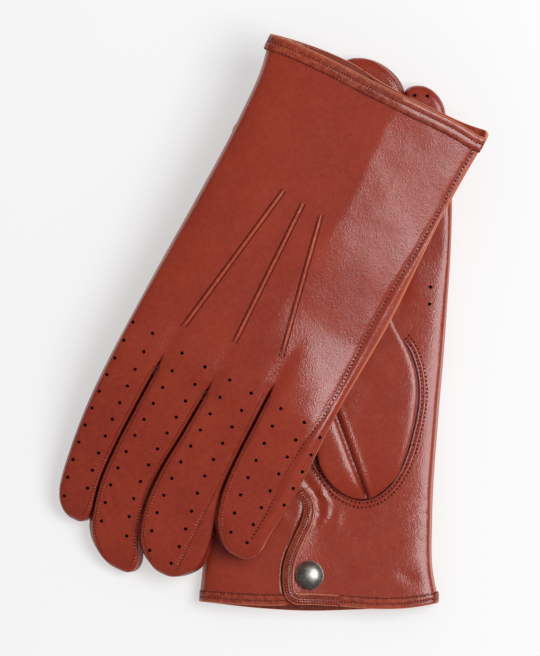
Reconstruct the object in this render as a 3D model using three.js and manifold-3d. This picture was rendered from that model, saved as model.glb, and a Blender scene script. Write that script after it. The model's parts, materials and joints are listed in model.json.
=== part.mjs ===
// A pair of unlined leather driving gloves, laid one across the other on a table. The right glove lies palm
// up. The left glove lies palm down on top of it, turned towards the lower left, its fingertips drooping.
// Millimetres, +Z up. The origin is on the table, under the middle of the pair's bounding box.
import * as THREE from "three";
import { mergeVertices } from "three/addons/utils/BufferGeometryUtils.js";
import Module from "manifold-3d";

const wasm = await Module();
wasm.setup();

// Driving dimensions, in millimetres and degrees. A glove's own frame has its origin at the middle of the
// wrist edge, +X towards the index finger, +Y towards the fingertips and +Z out of the back of the hand.
const LEATHER = 1; // thickness of the glove leather
const GAP = 0.3; // clearance between pieces that are sewn together
const FORM = 2.6; // superellipse power of the flattened cross-sections
const BACK_FLAT = 5.6; // height of the flat that the back of a glove rests on
const KNUCKLE_GAP = 1.9; // leather left out on each side of a knuckle, so that the finger can fold

// Stations of the hand from the wrist edge to the knuckles: edges on the pinky and index sides, half height.
const HAND = [
  { y: 0, pinky: -52.8, index: 52.8, half: 7 },
  { y: 24, pinky: -50.4, index: 48.6, half: 6.6 },
  { y: 56, pinky: -50.4, index: 48.8, half: 6.4 },
  { y: 100, pinky: -49, index: 51, half: 6.6 },
  { y: 152, pinky: -46.4, index: 53, half: 6.5 },
];

// Fingers: knuckle and tip positions along the hand, the middle line at both ends and how far it bows towards
// the index side half way, and the half widths. droop is how far the left glove's finger hangs down.
const FINGERS = [
  { name: "index", knuckle: 149, tip: 231, x: [43.4, 38.5], bow: 2.6, half: [9.5, 9.3], droop: 13 },
  { name: "middle", knuckle: 150, tip: 242, x: [21.2, 14.5], bow: 4.2, half: [11.6, 11.3], droop: 11.6 },
  { name: "ring", knuckle: 149, tip: 235, x: [-3.6, -9], bow: 3, half: [12, 13], droop: 8 },
  { name: "pinky", knuckle: 141, tip: 214.5, x: [-31.2, -33], bow: 1, half: [14.4, 12.4], droop: 4 },
];
const FINGER_HALF = [6, 5]; // half thickness of a finger at the knuckle and at the tip
const TIP = { roundness: 1.05, width: 0.16, thickness: 0.3 }; // a fingertip's end, as shares of the finger
const FOURCHETTE = { half: 3.2, start: -9, top: 20 }; // strips between the fingers: half width, cut's reach
const COLUMN_EDGES = [33.2, 9, -16.2]; // where the hand's knuckle line steps from one finger to the next

// Thumb, folded flat on the palm: stations from its base seam to its tip, height measured out of the palm.
const THUMB = [
  { y: 46.6, x: 17.6, half: 6, height: 1.6 },
  { y: 57, x: 16.8, half: 14.6, height: 4.6 },
  { y: 78, x: 18.4, half: 20.7, height: 7.6 },
  { y: 102, x: 20, half: 20, height: 8 },
  { y: 126, x: 14, half: 15.5, height: 7.6 },
  { y: 141, x: 9.5, half: 12.5, height: 6.4 },
  { y: 148, x: 7.8, half: 5.5, height: 3.6 },
];
const THUMB_SEAT = 7.9; // height of the plane, just off the palm, that the thumb lies on
const THUMB_FLOOR = 0.4; // least height of the hollow inside the thumb
const THUMB_HOLE = { x: 19.5, y: 77, halfWidth: 14.5, halfLength: 20, turnedIn: 2 };
const THUMB_SEAM = { x: 19.6, y: 78, halfWidth: 23.6, halfLength: 34, from: -200, to: 15 };

// Wrist slit on the palm, with a snap flap that laps over the palm leather beside it. The flap folds about a
// line from foot on the wrist edge to head at the slit's end.
const HEM = 5.6; // width of the wrist hem
const FLAP = { foot: 8.5, head: -2.3, length: 54, edgeWidth: 3 };
const SLIT_EDGE = [
  [-8.6, 0],
  [-12.6, 2],
  [-14.2, 7],
  [-12.9, 19],
  [-9, 32],
  [-5.6, 44],
  [-3.6, 54],
];
const FLAP_LEAST = 1; // the flap's free edge stays at least this far from its fold line
const UNDERLAP = { start: -25, dip: -17.5, end: 2.5, from: 6.1, to: 52.5, depth: 3.9, thick: 0.8, join: 1 };
const SNAP = { x: -4.8, y: 12.9, segments: 14, post: 1.4, socketHole: 1.8, holeReach: 2 };

// The press stud's four pieces as (radius, height out of the flap's outer face), from the outside in.
const SNAP_PARTS = {
  snap_cap: [
    [0, 3.1],
    [2.6, 2.85],
    [4.6, 2.1],
    [5.9, 1.15],
    [6.5, 0.4],
    [6.3, GAP],
    [1.4, GAP],
    [1.4, -1.8],
    [0, -1.8],
  ],
  snap_socket: [
    [1.8, -1.3],
    [5.4, -1.3],
    [5.4, -2.4],
    [4.6, -2.95],
    [2.9, -2.95],
    [2.9, -2.1],
    [1.8, -1.95],
  ],
  snap_stud: [
    [0, -2.1],
    [1.9, -2.1],
    [2.2, -2.5],
    [1.9, -3.15],
    [5, -3.15],
    [5, -3.62],
    [1.5, -3.62],
    [1.5, -2.6],
    [0, -2.6],
  ],
  snap_eyelet: [
    [0, -3],
    [1.1, -3],
    [1.1, -5.1],
    [4.2, -5.1],
    [4, -5.5],
    [0, -5.5],
  ],
};

// Sewing: raised points on the back of the hand, from the wrist to the fingers, and the side seam.
const POINTS = [
  { name: "index", from: [17, 60], to: [29.4, 132] },
  { name: "middle", from: [7, 61], to: [6.8, 130] },
  { name: "ring", from: [-2.6, 61.5], to: [-14.6, 126.5] },
];
const SIDE_SEAM = [
  [-48.6, 7],
  [-48, 48],
  [-45, 83],
  [-41.6, 134],
];
const THREAD = 0.3; // radius of a thread

// Where the two gloves lie. turn is about the table's normal, tilt lowers the fingertips.
const PLACES = {
  right: { x: 19.6, y: -125.3, z: BACK_FLAT, turn: -1.5, tilt: 0 },
  left: { x: 46.2, y: 103.5, z: 35.2, turn: 154, tilt: -3 },
};

const LEATHER_MATERIAL = new THREE.MeshStandardMaterial({ color: 0x8c382c, roughness: 0.42, metalness: 0 });
const EDGE_MATERIAL = new THREE.MeshStandardMaterial({ color: 0x96402f, roughness: 0.5, metalness: 0 });
const THREAD_MATERIAL = new THREE.MeshStandardMaterial({ color: 0x7a2a20, roughness: 0.7, metalness: 0 });
const METAL_MATERIAL = new THREE.MeshStandardMaterial({ color: 0x8c8a82, roughness: 0.32, metalness: 1 });

const { degToRad, lerp, clamp } = THREE.MathUtils;
const FAR = 400; // longer than anything here, for cutters

// A three.js geometry as a closed solid.
function solid(geometry) {
  const bare = geometry.index ? geometry.toNonIndexed() : geometry.clone();
  bare.deleteAttribute("normal");
  bare.deleteAttribute("uv");
  const merged = mergeVertices(bare, 1e-4);
  return new wasm.Manifold(
    new wasm.Mesh({
      numProp: 3,
      vertProperties: merged.attributes.position.array,
      triVerts: new Uint32Array(merged.index.array),
    }),
  );
}

// A solid as a named three.js mesh.
function piece(name, made, material) {
  const { vertProperties, triVerts, numProp } = made.getMesh();
  const positions = new Float32Array((vertProperties.length / numProp) * 3);
  for (let i = 0; i < positions.length / 3; i++) {
    positions.set(vertProperties.subarray(i * numProp, i * numProp + 3), i * 3);
  }
  const geometry = new THREE.BufferGeometry();
  geometry.setAttribute("position", new THREE.BufferAttribute(positions, 3));
  geometry.setIndex(new THREE.BufferAttribute(triVerts, 1));
  const flat = geometry.toNonIndexed();
  flat.computeVertexNormals();
  const mesh = new THREE.Mesh(flat, material);
  mesh.name = name;
  return mesh;
}

// A closed cylinder reshaped by place(c, s, t), where (c, s) is a point of the unit circle in the X-Z plane
// and t runs from 0 to 1 along Y.
function reshaped(around, along, place) {
  const geometry = new THREE.CylinderGeometry(1, 1, 1, around, along);
  const position = geometry.attributes.position;
  for (let i = 0; i < position.count; i++) {
    const p = place(position.getX(i), position.getZ(i), position.getY(i) + 0.5);
    position.setXYZ(i, p.x, p.y, p.z);
  }
  return solid(geometry);
}

const rounded = (v) => Math.sign(v) * Math.abs(v) ** (2 / FORM);

// One value of a list of stations as a smooth curve over t from 0 to 1.
function curveOf(stations, key) {
  const curve = new THREE.SplineCurve(stations.map((s) => new THREE.Vector2(s[key], s.y)));
  return (t) => curve.getPoint(clamp(t, 0, 1)).x;
}

const handAlong = curveOf(HAND, "y");
const handPinky = curveOf(HAND, "pinky");
const handIndex = curveOf(HAND, "index");
const handHalf = curveOf(HAND, "half");

// Height of the hand's surface above its middle plane at a plan position, before the back is flattened.
function handHeight(x, y) {
  const t = handStation(y);
  const middle = (handPinky(t) + handIndex(t)) / 2;
  const half = (handIndex(t) - handPinky(t)) / 2;
  const share = clamp(Math.abs(x - middle) / half, 0, 1);
  return handHalf(t) * (1 - share ** FORM) ** (1 / FORM);
}

// The curve parameter at which the hand reaches y.
function handStation(y) {
  let low = 0;
  let high = 1;
  for (let i = 0; i < 30; i++) {
    const t = (low + high) / 2;
    if (handAlong(t) < y) low = t;
    else high = t;
  }
  return low;
}

// The hand as a solid, smaller all round by inset, and longer at both ends by extra.
function handForm(inset, extra) {
  return reshaped(16, 7, (c, s, t) => {
    const middle = (handPinky(t) + handIndex(t)) / 2;
    const width = (handIndex(t) - handPinky(t)) / 2 - inset;
    const end = t < 0.01 ? -extra : t > 0.99 ? extra : 0;
    const z = (handHalf(t) - inset) * rounded(s);
    return new THREE.Vector3(
      middle + width * rounded(c),
      handAlong(t) + end,
      Math.min(z, BACK_FLAT - inset),
    );
  });
}

// A plan outline as a prism between two heights.
function prism(points, low, high) {
  const shape = new THREE.Shape(points.map(([x, y]) => new THREE.Vector2(x, y)));
  const geometry = new THREE.ExtrudeGeometry(shape, { depth: high - low, bevelEnabled: false });
  return solid(geometry.translate(0, 0, low));
}

// A side outline, given as (along, up), as a prism between two X positions.
function sidePrism(points, left, right) {
  const shape = new THREE.Shape(points.map(([y, z]) => new THREE.Vector2(y, z)));
  const geometry = new THREE.ExtrudeGeometry(shape, { depth: right - left, bevelEnabled: false });
  const turn = new THREE.Matrix4().makeBasis(
    new THREE.Vector3(0, 1, 0),
    new THREE.Vector3(0, 0, 1),
    new THREE.Vector3(1, 0, 0),
  );
  return solid(geometry.applyMatrix4(turn).translate(left, 0, 0));
}

const box = (x0, x1, y0, y1, z0, z1) =>
  prism([[x0, y0], [x1, y0], [x1, y1], [x0, y1]], z0, z1);

// A body of revolution standing on the palm at the snap. The profile is (radius, height out of the palm).
function snapPart(profile) {
  const points = [...profile, profile[0]].reverse().map(([r, out]) => new THREE.Vector2(r, out));
  const geometry = new THREE.LatheGeometry(points, SNAP.segments);
  return solid(geometry.rotateX(-Math.PI / 2).translate(SNAP.x, SNAP.y, -palmAtSnap));
}

const palmAtSnap = handHeight(SNAP.x, SNAP.y);

// A round thread along a line of plan points, lying on the back (side 1) or on the palm (side -1).
function threadOn(points, side) {
  const spots = points.map(([x, y]) => {
    const height = Math.min(handHeight(x, y), side > 0 ? BACK_FLAT : FAR);
    return new THREE.Vector3(x, y, side * (height + GAP + THREAD));
  });
  const path = new THREE.CatmullRomCurve3(spots);
  const ring = new THREE.Shape().absarc(0, 0, THREAD, 0, Math.PI * 2);
  const options = { steps: 3 * points.length, bevelEnabled: false, extrudePath: path, curveSegments: 3 };
  return solid(new THREE.ExtrudeGeometry(ring, options));
}

// An elliptical outline in plan.
function oval(x, y, halfWidth, halfLength, steps) {
  const curve = new THREE.EllipseCurve(x, y, halfWidth, halfLength);
  return curve.getPoints(steps).slice(1).map((p) => [p.x, p.y]);
}

const handShell = () => handForm(0, 0).subtract(handForm(LEATHER, 1));

const foldAt = (y) => lerp(FLAP.foot, FLAP.head, y / FLAP.length);

// The flap's outline in plan, from its fold line to the slit edge, smaller by inset on its free sides.
function flapOutline(inset) {
  const curve = new THREE.SplineCurve(SLIT_EDGE.map(([x, y]) => new THREE.Vector2(x, y)));
  const edge = curve
    .getPoints(11)
    .map(({ x, y }) => [x + inset, Math.max(y, inset)])
    .filter(([x, y]) => x < foldAt(y) - FLAP_LEAST);
  const bottom = inset || -FLAP_LEAST;
  const top = edge[edge.length - 1][1];
  return [[foldAt(bottom), bottom], [edge[0][0], bottom], ...edge, [foldAt(top), top]];
}

// The part of the palm that the flap and the underlap take the place of.
function slitRegion() {
  const low = -HEM;
  const high = FLAP.length + GAP;
  const left = UNDERLAP.start;
  return prism([[left, low], [foldAt(low) + GAP, low], [foldAt(high) + GAP, high], [left, high]], -FAR, 0);
}

// The hand's leather: one folded sheet with a side seam, the thumb hole, the wrist slit and the underlap
// that carries the snap's stud.
function handLeather() {
  const knuckles = [[-FAR, FAR]];
  const edges = [-FAR, ...[...COLUMN_EDGES].reverse(), FAR];
  [...FINGERS].reverse().forEach(({ knuckle }, i) => {
    knuckles.push([edges[i], knuckle - KNUCKLE_GAP], [edges[i + 1], knuckle - KNUCKLE_GAP]);
  });
  knuckles.push([FAR, FAR]);
  const seam = SIDE_SEAM.map(([x, y]) => [x - 2 * THREAD, y]);
  seam[0][1] = -FAR;
  seam[seam.length - 1][1] = FAR;
  const slot = [...seam, ...seam.map(([x, y]) => [x - GAP, y]).reverse()];
  const { x, y, halfWidth, halfLength } = THUMB_HOLE;
  return handShell()
    .subtract(prism(knuckles, -FAR, FAR))
    .subtract(prism(oval(x, y, halfWidth, halfLength, 16), -FAR, 0))
    .subtract(prism(slot, 0, FAR))
    .subtract(box(-FAR, FAR, -FAR, HEM + GAP, -FAR, FAR))
    .subtract(slitRegion())
    .add(underlap());
}

// The palm leather beside the slit dips below the flap and carries the stud.
function underlap() {
  const { start, dip, end, depth, thick, join, from, to } = UNDERLAP;
  const low = -palmAtSnap + depth;
  const top = -handHeight(start, SNAP.y) + LEATHER - thick;
  const outline = [[start - join, top], [start + join, top], [dip, low], [end, low]];
  const under = [...outline].reverse().map(([x, z]) => [x, z + thick]);
  const shape = new THREE.Shape([...outline, ...under].map(([x, z]) => new THREE.Vector2(x, z)));
  const geometry = new THREE.ExtrudeGeometry(shape, { depth: to - from, bevelEnabled: false });
  const hole = snapPart([[0, 0], [SNAP.post, 0], [SNAP.post, -FAR], [0, -FAR]]);
  return solid(geometry.rotateX(Math.PI / 2).translate(0, to, 0)).subtract(hole);
}

// The flap over the slit, pierced for the snap cap's post.
function flapLeather() {
  const { socketHole, holeReach } = SNAP;
  return handShell()
    .intersect(prism(flapOutline(FLAP.edgeWidth + GAP), -FAR, 0))
    .subtract(snapPart([[0, holeReach], [socketHole, holeReach], [socketHole, -holeReach], [0, -holeReach]]));
}

// The turned edges: a band around the wrist, and a band along the flap's free sides.
const cuffHem = () => handShell().intersect(box(-FAR, FAR, -FAR, HEM, -FAR, FAR)).subtract(slitRegion());

const flapEdge = () =>
  handShell()
    .intersect(prism(flapOutline(0), -FAR, 0))
    .subtract(prism(flapOutline(FLAP.edgeWidth), -FAR, 0));

// A finger as a solid in its own frame, whose origin is on the knuckle line at the hand's middle line.
function fingerForm({ knuckle, tip, x, bow, half }, inset, extra) {
  const length = tip - knuckle;
  const round = half[1] * TIP.roundness;
  return reshaped(10, 6, (c, s, t) => {
    const onTip = clamp((t - 0.5) / 0.5, 0, 1) * (Math.PI / 2);
    const straight = lerp(KNUCKLE_GAP - extra, length - round, clamp(t / 0.5, 0, 1));
    const y = straight + (round - inset) * Math.sin(onTip);
    const shrink = Math.max(Math.cos(onTip), TIP.width);
    const share = clamp(y / length, 0, 1);
    const middle = lerp(...x, share) + 4 * bow * share * (1 - share);
    const width = (lerp(...half, share) - inset) * shrink;
    const height = (lerp(...FINGER_HALF, share) - inset) * Math.max(shrink, TIP.thickness);
    return new THREE.Vector3(
      middle + width * rounded(c),
      y,
      Math.min(height * rounded(s), BACK_FLAT - inset),
    );
  });
}

// A finger's sewn pieces: back and palm leather, and the fourchette strips on its sides. The index finger's
// outer side is the fold of the sheet, and the pinky's outer side is a fold of the palm leather.
function fingerPieces(finger) {
  const shell = fingerForm(finger, 0, 0).subtract(fingerForm(finger, LEATHER, 2));
  const length = finger.tip - finger.knuckle;
  const turn = length - finger.half[1];
  const point = length - 0.3 * finger.half[1];
  const middle = (finger.x[0] + finger.x[1]) / 2;
  const { half, start, top } = FOURCHETTE;
  const seam = GAP / 2;
  const backCut = () =>
    sidePrism([[start, half], [turn, half], [point, seam], [FAR, seam], [FAR, top], [start, top]], -FAR, FAR);
  const palmCut = () => backCut().mirror([0, 0, 1]);
  const strip = (grow, x0, x1) => {
    const z = half - GAP + grow;
    return sidePrism([[start, -z], [turn, -z], [point - 1 + grow, 0], [turn, z], [start, z]], x0, x1);
  };
  const onPinkySide = [-FAR, middle];
  const onIndexSide = [middle, FAR];
  if (finger.name === "index") {
    return {
      leather: shell.subtract(strip(GAP, ...onPinkySide)),
      fourchette: shell.intersect(strip(0, ...onPinkySide)),
    };
  }
  if (finger.name === "pinky") {
    return {
      back: shell.intersect(backCut()),
      palm: shell.intersect(palmCut().add(strip(0, ...onPinkySide).translate([0, 0, -2 * GAP]))),
      fourchette: shell.intersect(strip(0, ...onIndexSide)),
    };
  }
  return {
    back: shell.intersect(backCut()),
    palm: shell.intersect(palmCut()),
    fourchette_index_side: shell.intersect(strip(0, ...onIndexSide)),
    fourchette_pinky_side: shell.intersect(strip(0, ...onPinkySide)),
  };
}

// The thumb: a hollow flattened tube on the palm that opens into the hand over the thumb hole.
function thumbForm(inset) {
  const along = curveOf(THUMB, "y");
  const x = curveOf(THUMB, "x");
  const half = curveOf(THUMB, "half");
  const height = curveOf(THUMB, "height");
  return reshaped(12, 8, (c, s, t) => {
    const end = t < 0.01 ? inset : t > 0.99 ? -inset : 0;
    const rise = Math.max(height(t) - 2 * inset, THUMB_FLOOR);
    return new THREE.Vector3(
      x(t) + (half(t) - inset) * rounded(c),
      along(t) + end,
      -THUMB_SEAT - inset - rise * (0.5 - 0.5 * rounded(s)),
    );
  });
}

function thumbLeather() {
  const { x, y, halfWidth, halfLength, turnedIn } = THUMB_HOLE;
  const outline = oval(x, y, halfWidth - turnedIn, halfLength - turnedIn, 12);
  const mouth = prism(outline, -THUMB_SEAT - 1.6 * LEATHER, 0);
  return thumbForm(0).subtract(thumbForm(LEATHER)).subtract(mouth);
}

// The line of the thumb's seam on the palm.
function thumbSeam() {
  const { x, y, halfWidth, halfLength, from, to } = THUMB_SEAM;
  const around = new THREE.EllipseCurve(x, y, halfWidth, halfLength, degToRad(from), degToRad(to));
  return around.getPoints(8).map((p) => [p.x, p.y]);
}

// All the pieces of one glove in the glove's own frame. Fingers are in groups of their own at the knuckles.
// The glove that lies on its back has no thread there, because the table presses its points flat.
function glove(side, onItsBack) {
  const group = new THREE.Group();
  const add = (to, name, made, material) => to.add(piece(`${side}_${name}`, made, material));
  add(group, "hand_leather", handLeather(), LEATHER_MATERIAL);
  add(group, "cuff_hem", cuffHem(), EDGE_MATERIAL);
  add(group, "snap_flap", flapLeather(), LEATHER_MATERIAL);
  add(group, "flap_edge", flapEdge(), EDGE_MATERIAL);
  add(group, "thumb_leather", thumbLeather(), LEATHER_MATERIAL);
  add(group, "thumb_seam_thread", threadOn(thumbSeam(), -1), THREAD_MATERIAL);
  for (const [name, profile] of Object.entries(SNAP_PARTS)) {
    add(group, name, snapPart(profile), METAL_MATERIAL);
  }
  for (const { name, from, to } of onItsBack ? [] : POINTS) {
    const halfway = [(from[0] + to[0]) / 2, (from[1] + to[1]) / 2];
    add(group, `point_thread_${name}`, threadOn([from, halfway, to], 1), THREAD_MATERIAL);
  }
  if (!onItsBack) add(group, "side_seam_thread", threadOn(SIDE_SEAM, 1), THREAD_MATERIAL);
  for (const finger of FINGERS) {
    const knuckle = new THREE.Group();
    knuckle.position.y = finger.knuckle;
    knuckle.rotation.x = onItsBack ? 0 : -degToRad(finger.droop);
    for (const [name, made] of Object.entries(fingerPieces(finger))) {
      add(knuckle, `${finger.name}_${name}`, made, LEATHER_MATERIAL);
    }
    group.add(knuckle);
  }
  return group;
}

// Both gloves in place. Mirroring a left glove through its own plane makes a right glove, palm up.
const gloves = new THREE.Group();
for (const [side, place] of Object.entries(PLACES)) {
  const onItsBack = side === "right";
  const made = glove(side, onItsBack);
  made.rotation.x = degToRad(place.tilt);
  made.scale.z = onItsBack ? -1 : 1;
  const turned = new THREE.Group();
  turned.position.set(place.x, place.y, place.z);
  turned.rotation.z = degToRad(place.turn);
  turned.add(made);
  gloves.add(turned);
}

export default gloves;
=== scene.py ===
"""Looks of a pair of leather driving gloves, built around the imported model.

A glove is described once, in its own frame in millimetres: x towards the index finger, y from the wrist edge
to the fingertips, z out of the back of the hand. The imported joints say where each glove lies.
"""
import json
import math

import bpy
import numpy as np
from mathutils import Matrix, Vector
from mathutils.kdtree import KDTree


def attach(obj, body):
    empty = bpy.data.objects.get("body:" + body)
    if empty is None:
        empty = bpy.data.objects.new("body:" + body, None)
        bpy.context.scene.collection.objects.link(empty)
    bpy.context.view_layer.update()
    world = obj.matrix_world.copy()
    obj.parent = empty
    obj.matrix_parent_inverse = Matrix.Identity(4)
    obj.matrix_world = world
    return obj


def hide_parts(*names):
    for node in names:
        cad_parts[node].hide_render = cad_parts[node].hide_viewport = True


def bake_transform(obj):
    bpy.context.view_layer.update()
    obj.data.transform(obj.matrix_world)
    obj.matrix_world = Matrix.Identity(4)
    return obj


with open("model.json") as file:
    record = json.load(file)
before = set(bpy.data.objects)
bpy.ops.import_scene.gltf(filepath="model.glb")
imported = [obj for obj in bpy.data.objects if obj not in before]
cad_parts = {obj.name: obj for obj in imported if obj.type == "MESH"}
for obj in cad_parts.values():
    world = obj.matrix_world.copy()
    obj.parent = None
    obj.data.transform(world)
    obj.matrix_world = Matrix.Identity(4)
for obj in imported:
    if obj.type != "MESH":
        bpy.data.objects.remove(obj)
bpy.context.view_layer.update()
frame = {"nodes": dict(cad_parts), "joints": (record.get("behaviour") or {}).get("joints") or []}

JOINTS = {joint["name"]: joint for joint in frame["joints"]}

# Thicknesses, and where the pieces of leather meet.
LEATHER = 0.95
SPLIT = 136.0  # the finger skins start here, below the crotches between the fingers
BACK_FLAT = 5.6  # the back of the glove that lies on the table is flattened here
SIDE = 0.6  # half height of the folded side of a glove
FOLD_BULGE = 0.35  # how far the fold stands out between its upper and its lower edge
# Superellipse power of the hand's cross-section, on the pinky side and on the index side of each face.
FLAT_FORM = 2.6
FORMS = {
    ("left", 1): (1.14, 3.4), ("left", -1): (FLAT_FORM, FLAT_FORM),
    ("right", 1): (FLAT_FORM, FLAT_FORM), ("right", -1): (3.4, 6.0),
}
FINGER_SIDE = 2.3  # half height of the fourchettes
FINGER_FORM = 6.0  # superellipse power of a finger's cross-section
FLAP_HINGE = (4.25, 22.0, -7.05)  # a point of the flap's joint axis


def smooth(x, low, high):
    t = np.clip((x - low) / (high - low), 0, 1)
    return t * t * (3 - 2 * t)


def bell(x, width):
    return np.exp(-((x / width) ** 2))


def unit(vectors):
    return vectors / np.maximum(np.linalg.norm(vectors, axis=-1, keepdims=True), 1e-15)


def curve(*points):
    """A smooth function through (position, value) points."""
    knots, values = np.array(points, float).T
    slopes = np.gradient(values, knots)

    def at(x):
        x = np.clip(x, knots[0], knots[-1])
        i = np.clip(np.searchsorted(knots, x) - 1, 0, len(knots) - 2)
        step = knots[i + 1] - knots[i]
        t = (x - knots[i]) / step
        ends = (2 * t**3 - 3 * t**2 + 1) * values[i] + (3 * t**2 - 2 * t**3) * values[i + 1]
        return ends + step * ((t**3 - 2 * t**2 + t) * slopes[i] + (t**3 - t**2) * slopes[i + 1])

    return at


# Plan lines of a glove, from the pinky side to the index side: the outer sides and the gaps between fingers.
PINKY_SIDE = curve((0, -52.6), (15, -51.3), (38, -50), (93, -49.5), (142, -46.2), (173, -45.9), (187, -45.3),
                   (203, -43.6))
RING_PINKY = curve((0, -27), (100, -19.5), (141.5, -16.1), (160, -15.7), (176, -15.5), (192, -16.4),
                   (205, -19.7), (214, -21.6), (224, -22.2), (237, -19))
MIDDLE_RING = curve((0, 0), (100, 6), (152, 9), (177, 10.7), (195, 12.2), (210, 11.7), (224, 8.3), (230, 5.6),
                    (236, 2.2), (244, -2.5))
INDEX_MIDDLE = curve((0, 27), (100, 31.5), (151, 33.3), (174, 34.3), (194, 34.7), (212, 33.8), (221, 32),
                     (229, 29.6), (236, 26.2), (244, 22))
INDEX_SIDE = curve((0, 52.6), (16, 49.4), (39, 48.6), (86, 50.3), (110, 51.7), (134, 52.8), (158, 53.7),
                   (182, 53.6), (204, 51.8), (221, 49), (232, 45.5))
LINES = [PINKY_SIDE, RING_PINKY, MIDDLE_RING, INDEX_MIDDLE, INDEX_SIDE]
# The highest line along the upper glove's back, how far it wanders, and how far from the middle the lower
# glove's palm is highest.
CREST = curve((0, -13), (60, -12), (105, -3), (140, 0))
CREST_WANDER = 4
PALM_CREST = 14
HAND_HALF = curve((0, 7), (24, 6.6), (56, 6.4), (100, 6.6), (152, 6.5))

# Fingers, from the pinky side: length of the rounded tip, its lean to the side, droop in degrees of the upper
# glove's finger, and how much shorter the lower glove's finger is.
FINGERS = [
    {"name": "pinky", "tip": 215, "round": 13, "lean": -0.15, "droop": 4, "shorter": 1},
    {"name": "ring", "tip": 237.3, "round": 13.5, "lean": 0, "droop": 8, "shorter": 2.5},
    {"name": "middle", "tip": 245.5, "round": 13, "lean": 0, "droop": 11.6, "shorter": 4.5},
    {"name": "index", "tip": 234.3, "round": 11, "lean": 0, "droop": 13, "shorter": 4.8},
]
CROTCH_DIP = 0.9  # depth of the valley that leads to a gap
CROTCHES = (None, 141.5, 152, 151, None)  # where the gap on each line starts; the outer sides have none
for i, finger in enumerate(FINGERS):
    finger["crotch"] = CROTCHES[i:i + 2]
GAP = 0.28  # half of the gap between two fingers
COLUMNS = 26  # columns of the skin across each finger
HAND_COLUMNS = 4 * COLUMNS + 1
FINGER_HALF = curve((SPLIT, 6.3), (150, 6), (236, 5))

# Perforations: finger, place across it at the first and last hole, first hole's y, count. Pitch in mm.
HOLE = {"radius": 0.8, "pitch": 8.4}
BACK_HOLES = [
    ("index", 0.84, 0.66, 141.5, 11), ("index", -0.15, -0.5, 142, 10),
    ("middle", 0.44, 0.6, 144, 11), ("middle", -0.52, -0.5, 145, 11),
    ("ring", 0.47, 0.68, 145.5, 11), ("ring", -0.44, -0.2, 146.5, 11),
    ("pinky", 0.51, 0.42, 147, 8), ("pinky", -0.29, -0.3, 148, 8), ("pinky", -0.9, -0.86, 151, 5),
]
PALM_HOLES = [
    ("index", 0.24, 0.24, 140.8, 1), ("index", 0.33, 0.33, 224.9, 1), ("index", -0.45, -0.45, 225, 1),
    ("middle", 0.45, 0.5, 148.2, 10), ("middle", -0.45, -0.5, 149.2, 10),
    ("ring", 0.45, 0.5, 150.2, 9), ("ring", -0.45, -0.5, 151.2, 9),
    ("pinky", 0.4, 0.4, 152.2, 6), ("pinky", -0.4, -0.4, 153.2, 6),
]
KNUCKLE_HOLE = (45.3, 133.3)  # the last palm hole of the index finger's row, on the hand leather

# Wrist slit: its free edge, the two skin columns beside it, and the fold line that the flap turns about.
SLIT_HEAD = 48.0
SLIT_EDGE = curve((0, -9.5), (1.2, -12), (3, -14), (5, -15), (8, -15.7), (12, -16), (15.5, -15.9),
                  (20.8, -14.7), (25.5, -13), (31, -10.7), (36, -8.5), (39, -7.7), (42, -7.6), (44.5, -8.4),
                  (46.5, -9.9), (48, -11.4))
SLIT_DIP = 2.9  # how far the palm leather beside the slit dips below the flap
FLAP_LIFT = 1.5  # how far the flap's free edge stands off the palm
SLIT_COLUMNS = (46, 47)
FOLD = {"foot": 8.5, "head": -2.3, "length": 54.0}
FOLD_LINE = np.array([FOLD["head"] - FOLD["foot"], FOLD["length"]])
FOLD_LINE /= np.linalg.norm(FOLD_LINE)


def fold_at(y):
    return FOLD["foot"] + (FOLD["head"] - FOLD["foot"]) * y / FOLD["length"]


# How far the wrist edge of the back and of the palm stands out past y = 0 or short of it, across each glove.
WRIST_EDGES = {
    ("right", 1): curve((-53, -0.6), (-25, -3), (-5, -3.5), (17, -2.4), (30, -1.4), (53, 1.6)),
    ("right", -1): curve((-53, -0.6), (-21, -1.5), (-5, -0.6), (10, -1), (25, -1.7), (39, -1), (53, 1.6)),
    ("left", 1): curve((-53, 1.9), (-41, 0.4), (-20, 0.1), (0, 0), (35, -0.3), (46, 0.4), (53, 1.5)),
    ("left", -1): curve((-53, -2.2), (-43, -0.8), (-25, -0.3), (0, -0.8), (16, -2.6), (26, -2.4), (40, -1),
                        (53, 1.2)),
}


# ---------------------------------------------------------------------------------------------------------
# Seeded smooth noise
# ---------------------------------------------------------------------------------------------------------

def noise(x, y, scale, seed):
    """Smooth noise between about -1 and 1 with features of the given size."""
    table = np.random.default_rng(seed).uniform(-1, 1, (64, 64))
    u = x / scale + 31.7
    v = y / scale + 17.3
    i = np.floor(u).astype(int)
    j = np.floor(v).astype(int)
    a = u - i
    b = v - j
    a = a * a * (3 - 2 * a)
    b = b * b * (3 - 2 * b)
    pick = lambda p, q: table[p % 64, q % 64]
    low = pick(i, j) * (1 - a) + pick(i + 1, j) * a
    high = pick(i, j + 1) * (1 - a) + pick(i + 1, j + 1) * a
    return low * (1 - b) + high * b


def to_segment(x, y, x0, y0, x1, y1):
    """Distance from points to a segment, and the share of the way along it."""
    dx, dy = x1 - x0, y1 - y0
    t = np.clip(((x - x0) * dx + (y - y0) * dy) / (dx * dx + dy * dy), 0, 1)
    return np.hypot(x - x0 - t * dx, y - y0 - t * dy), t


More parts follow.
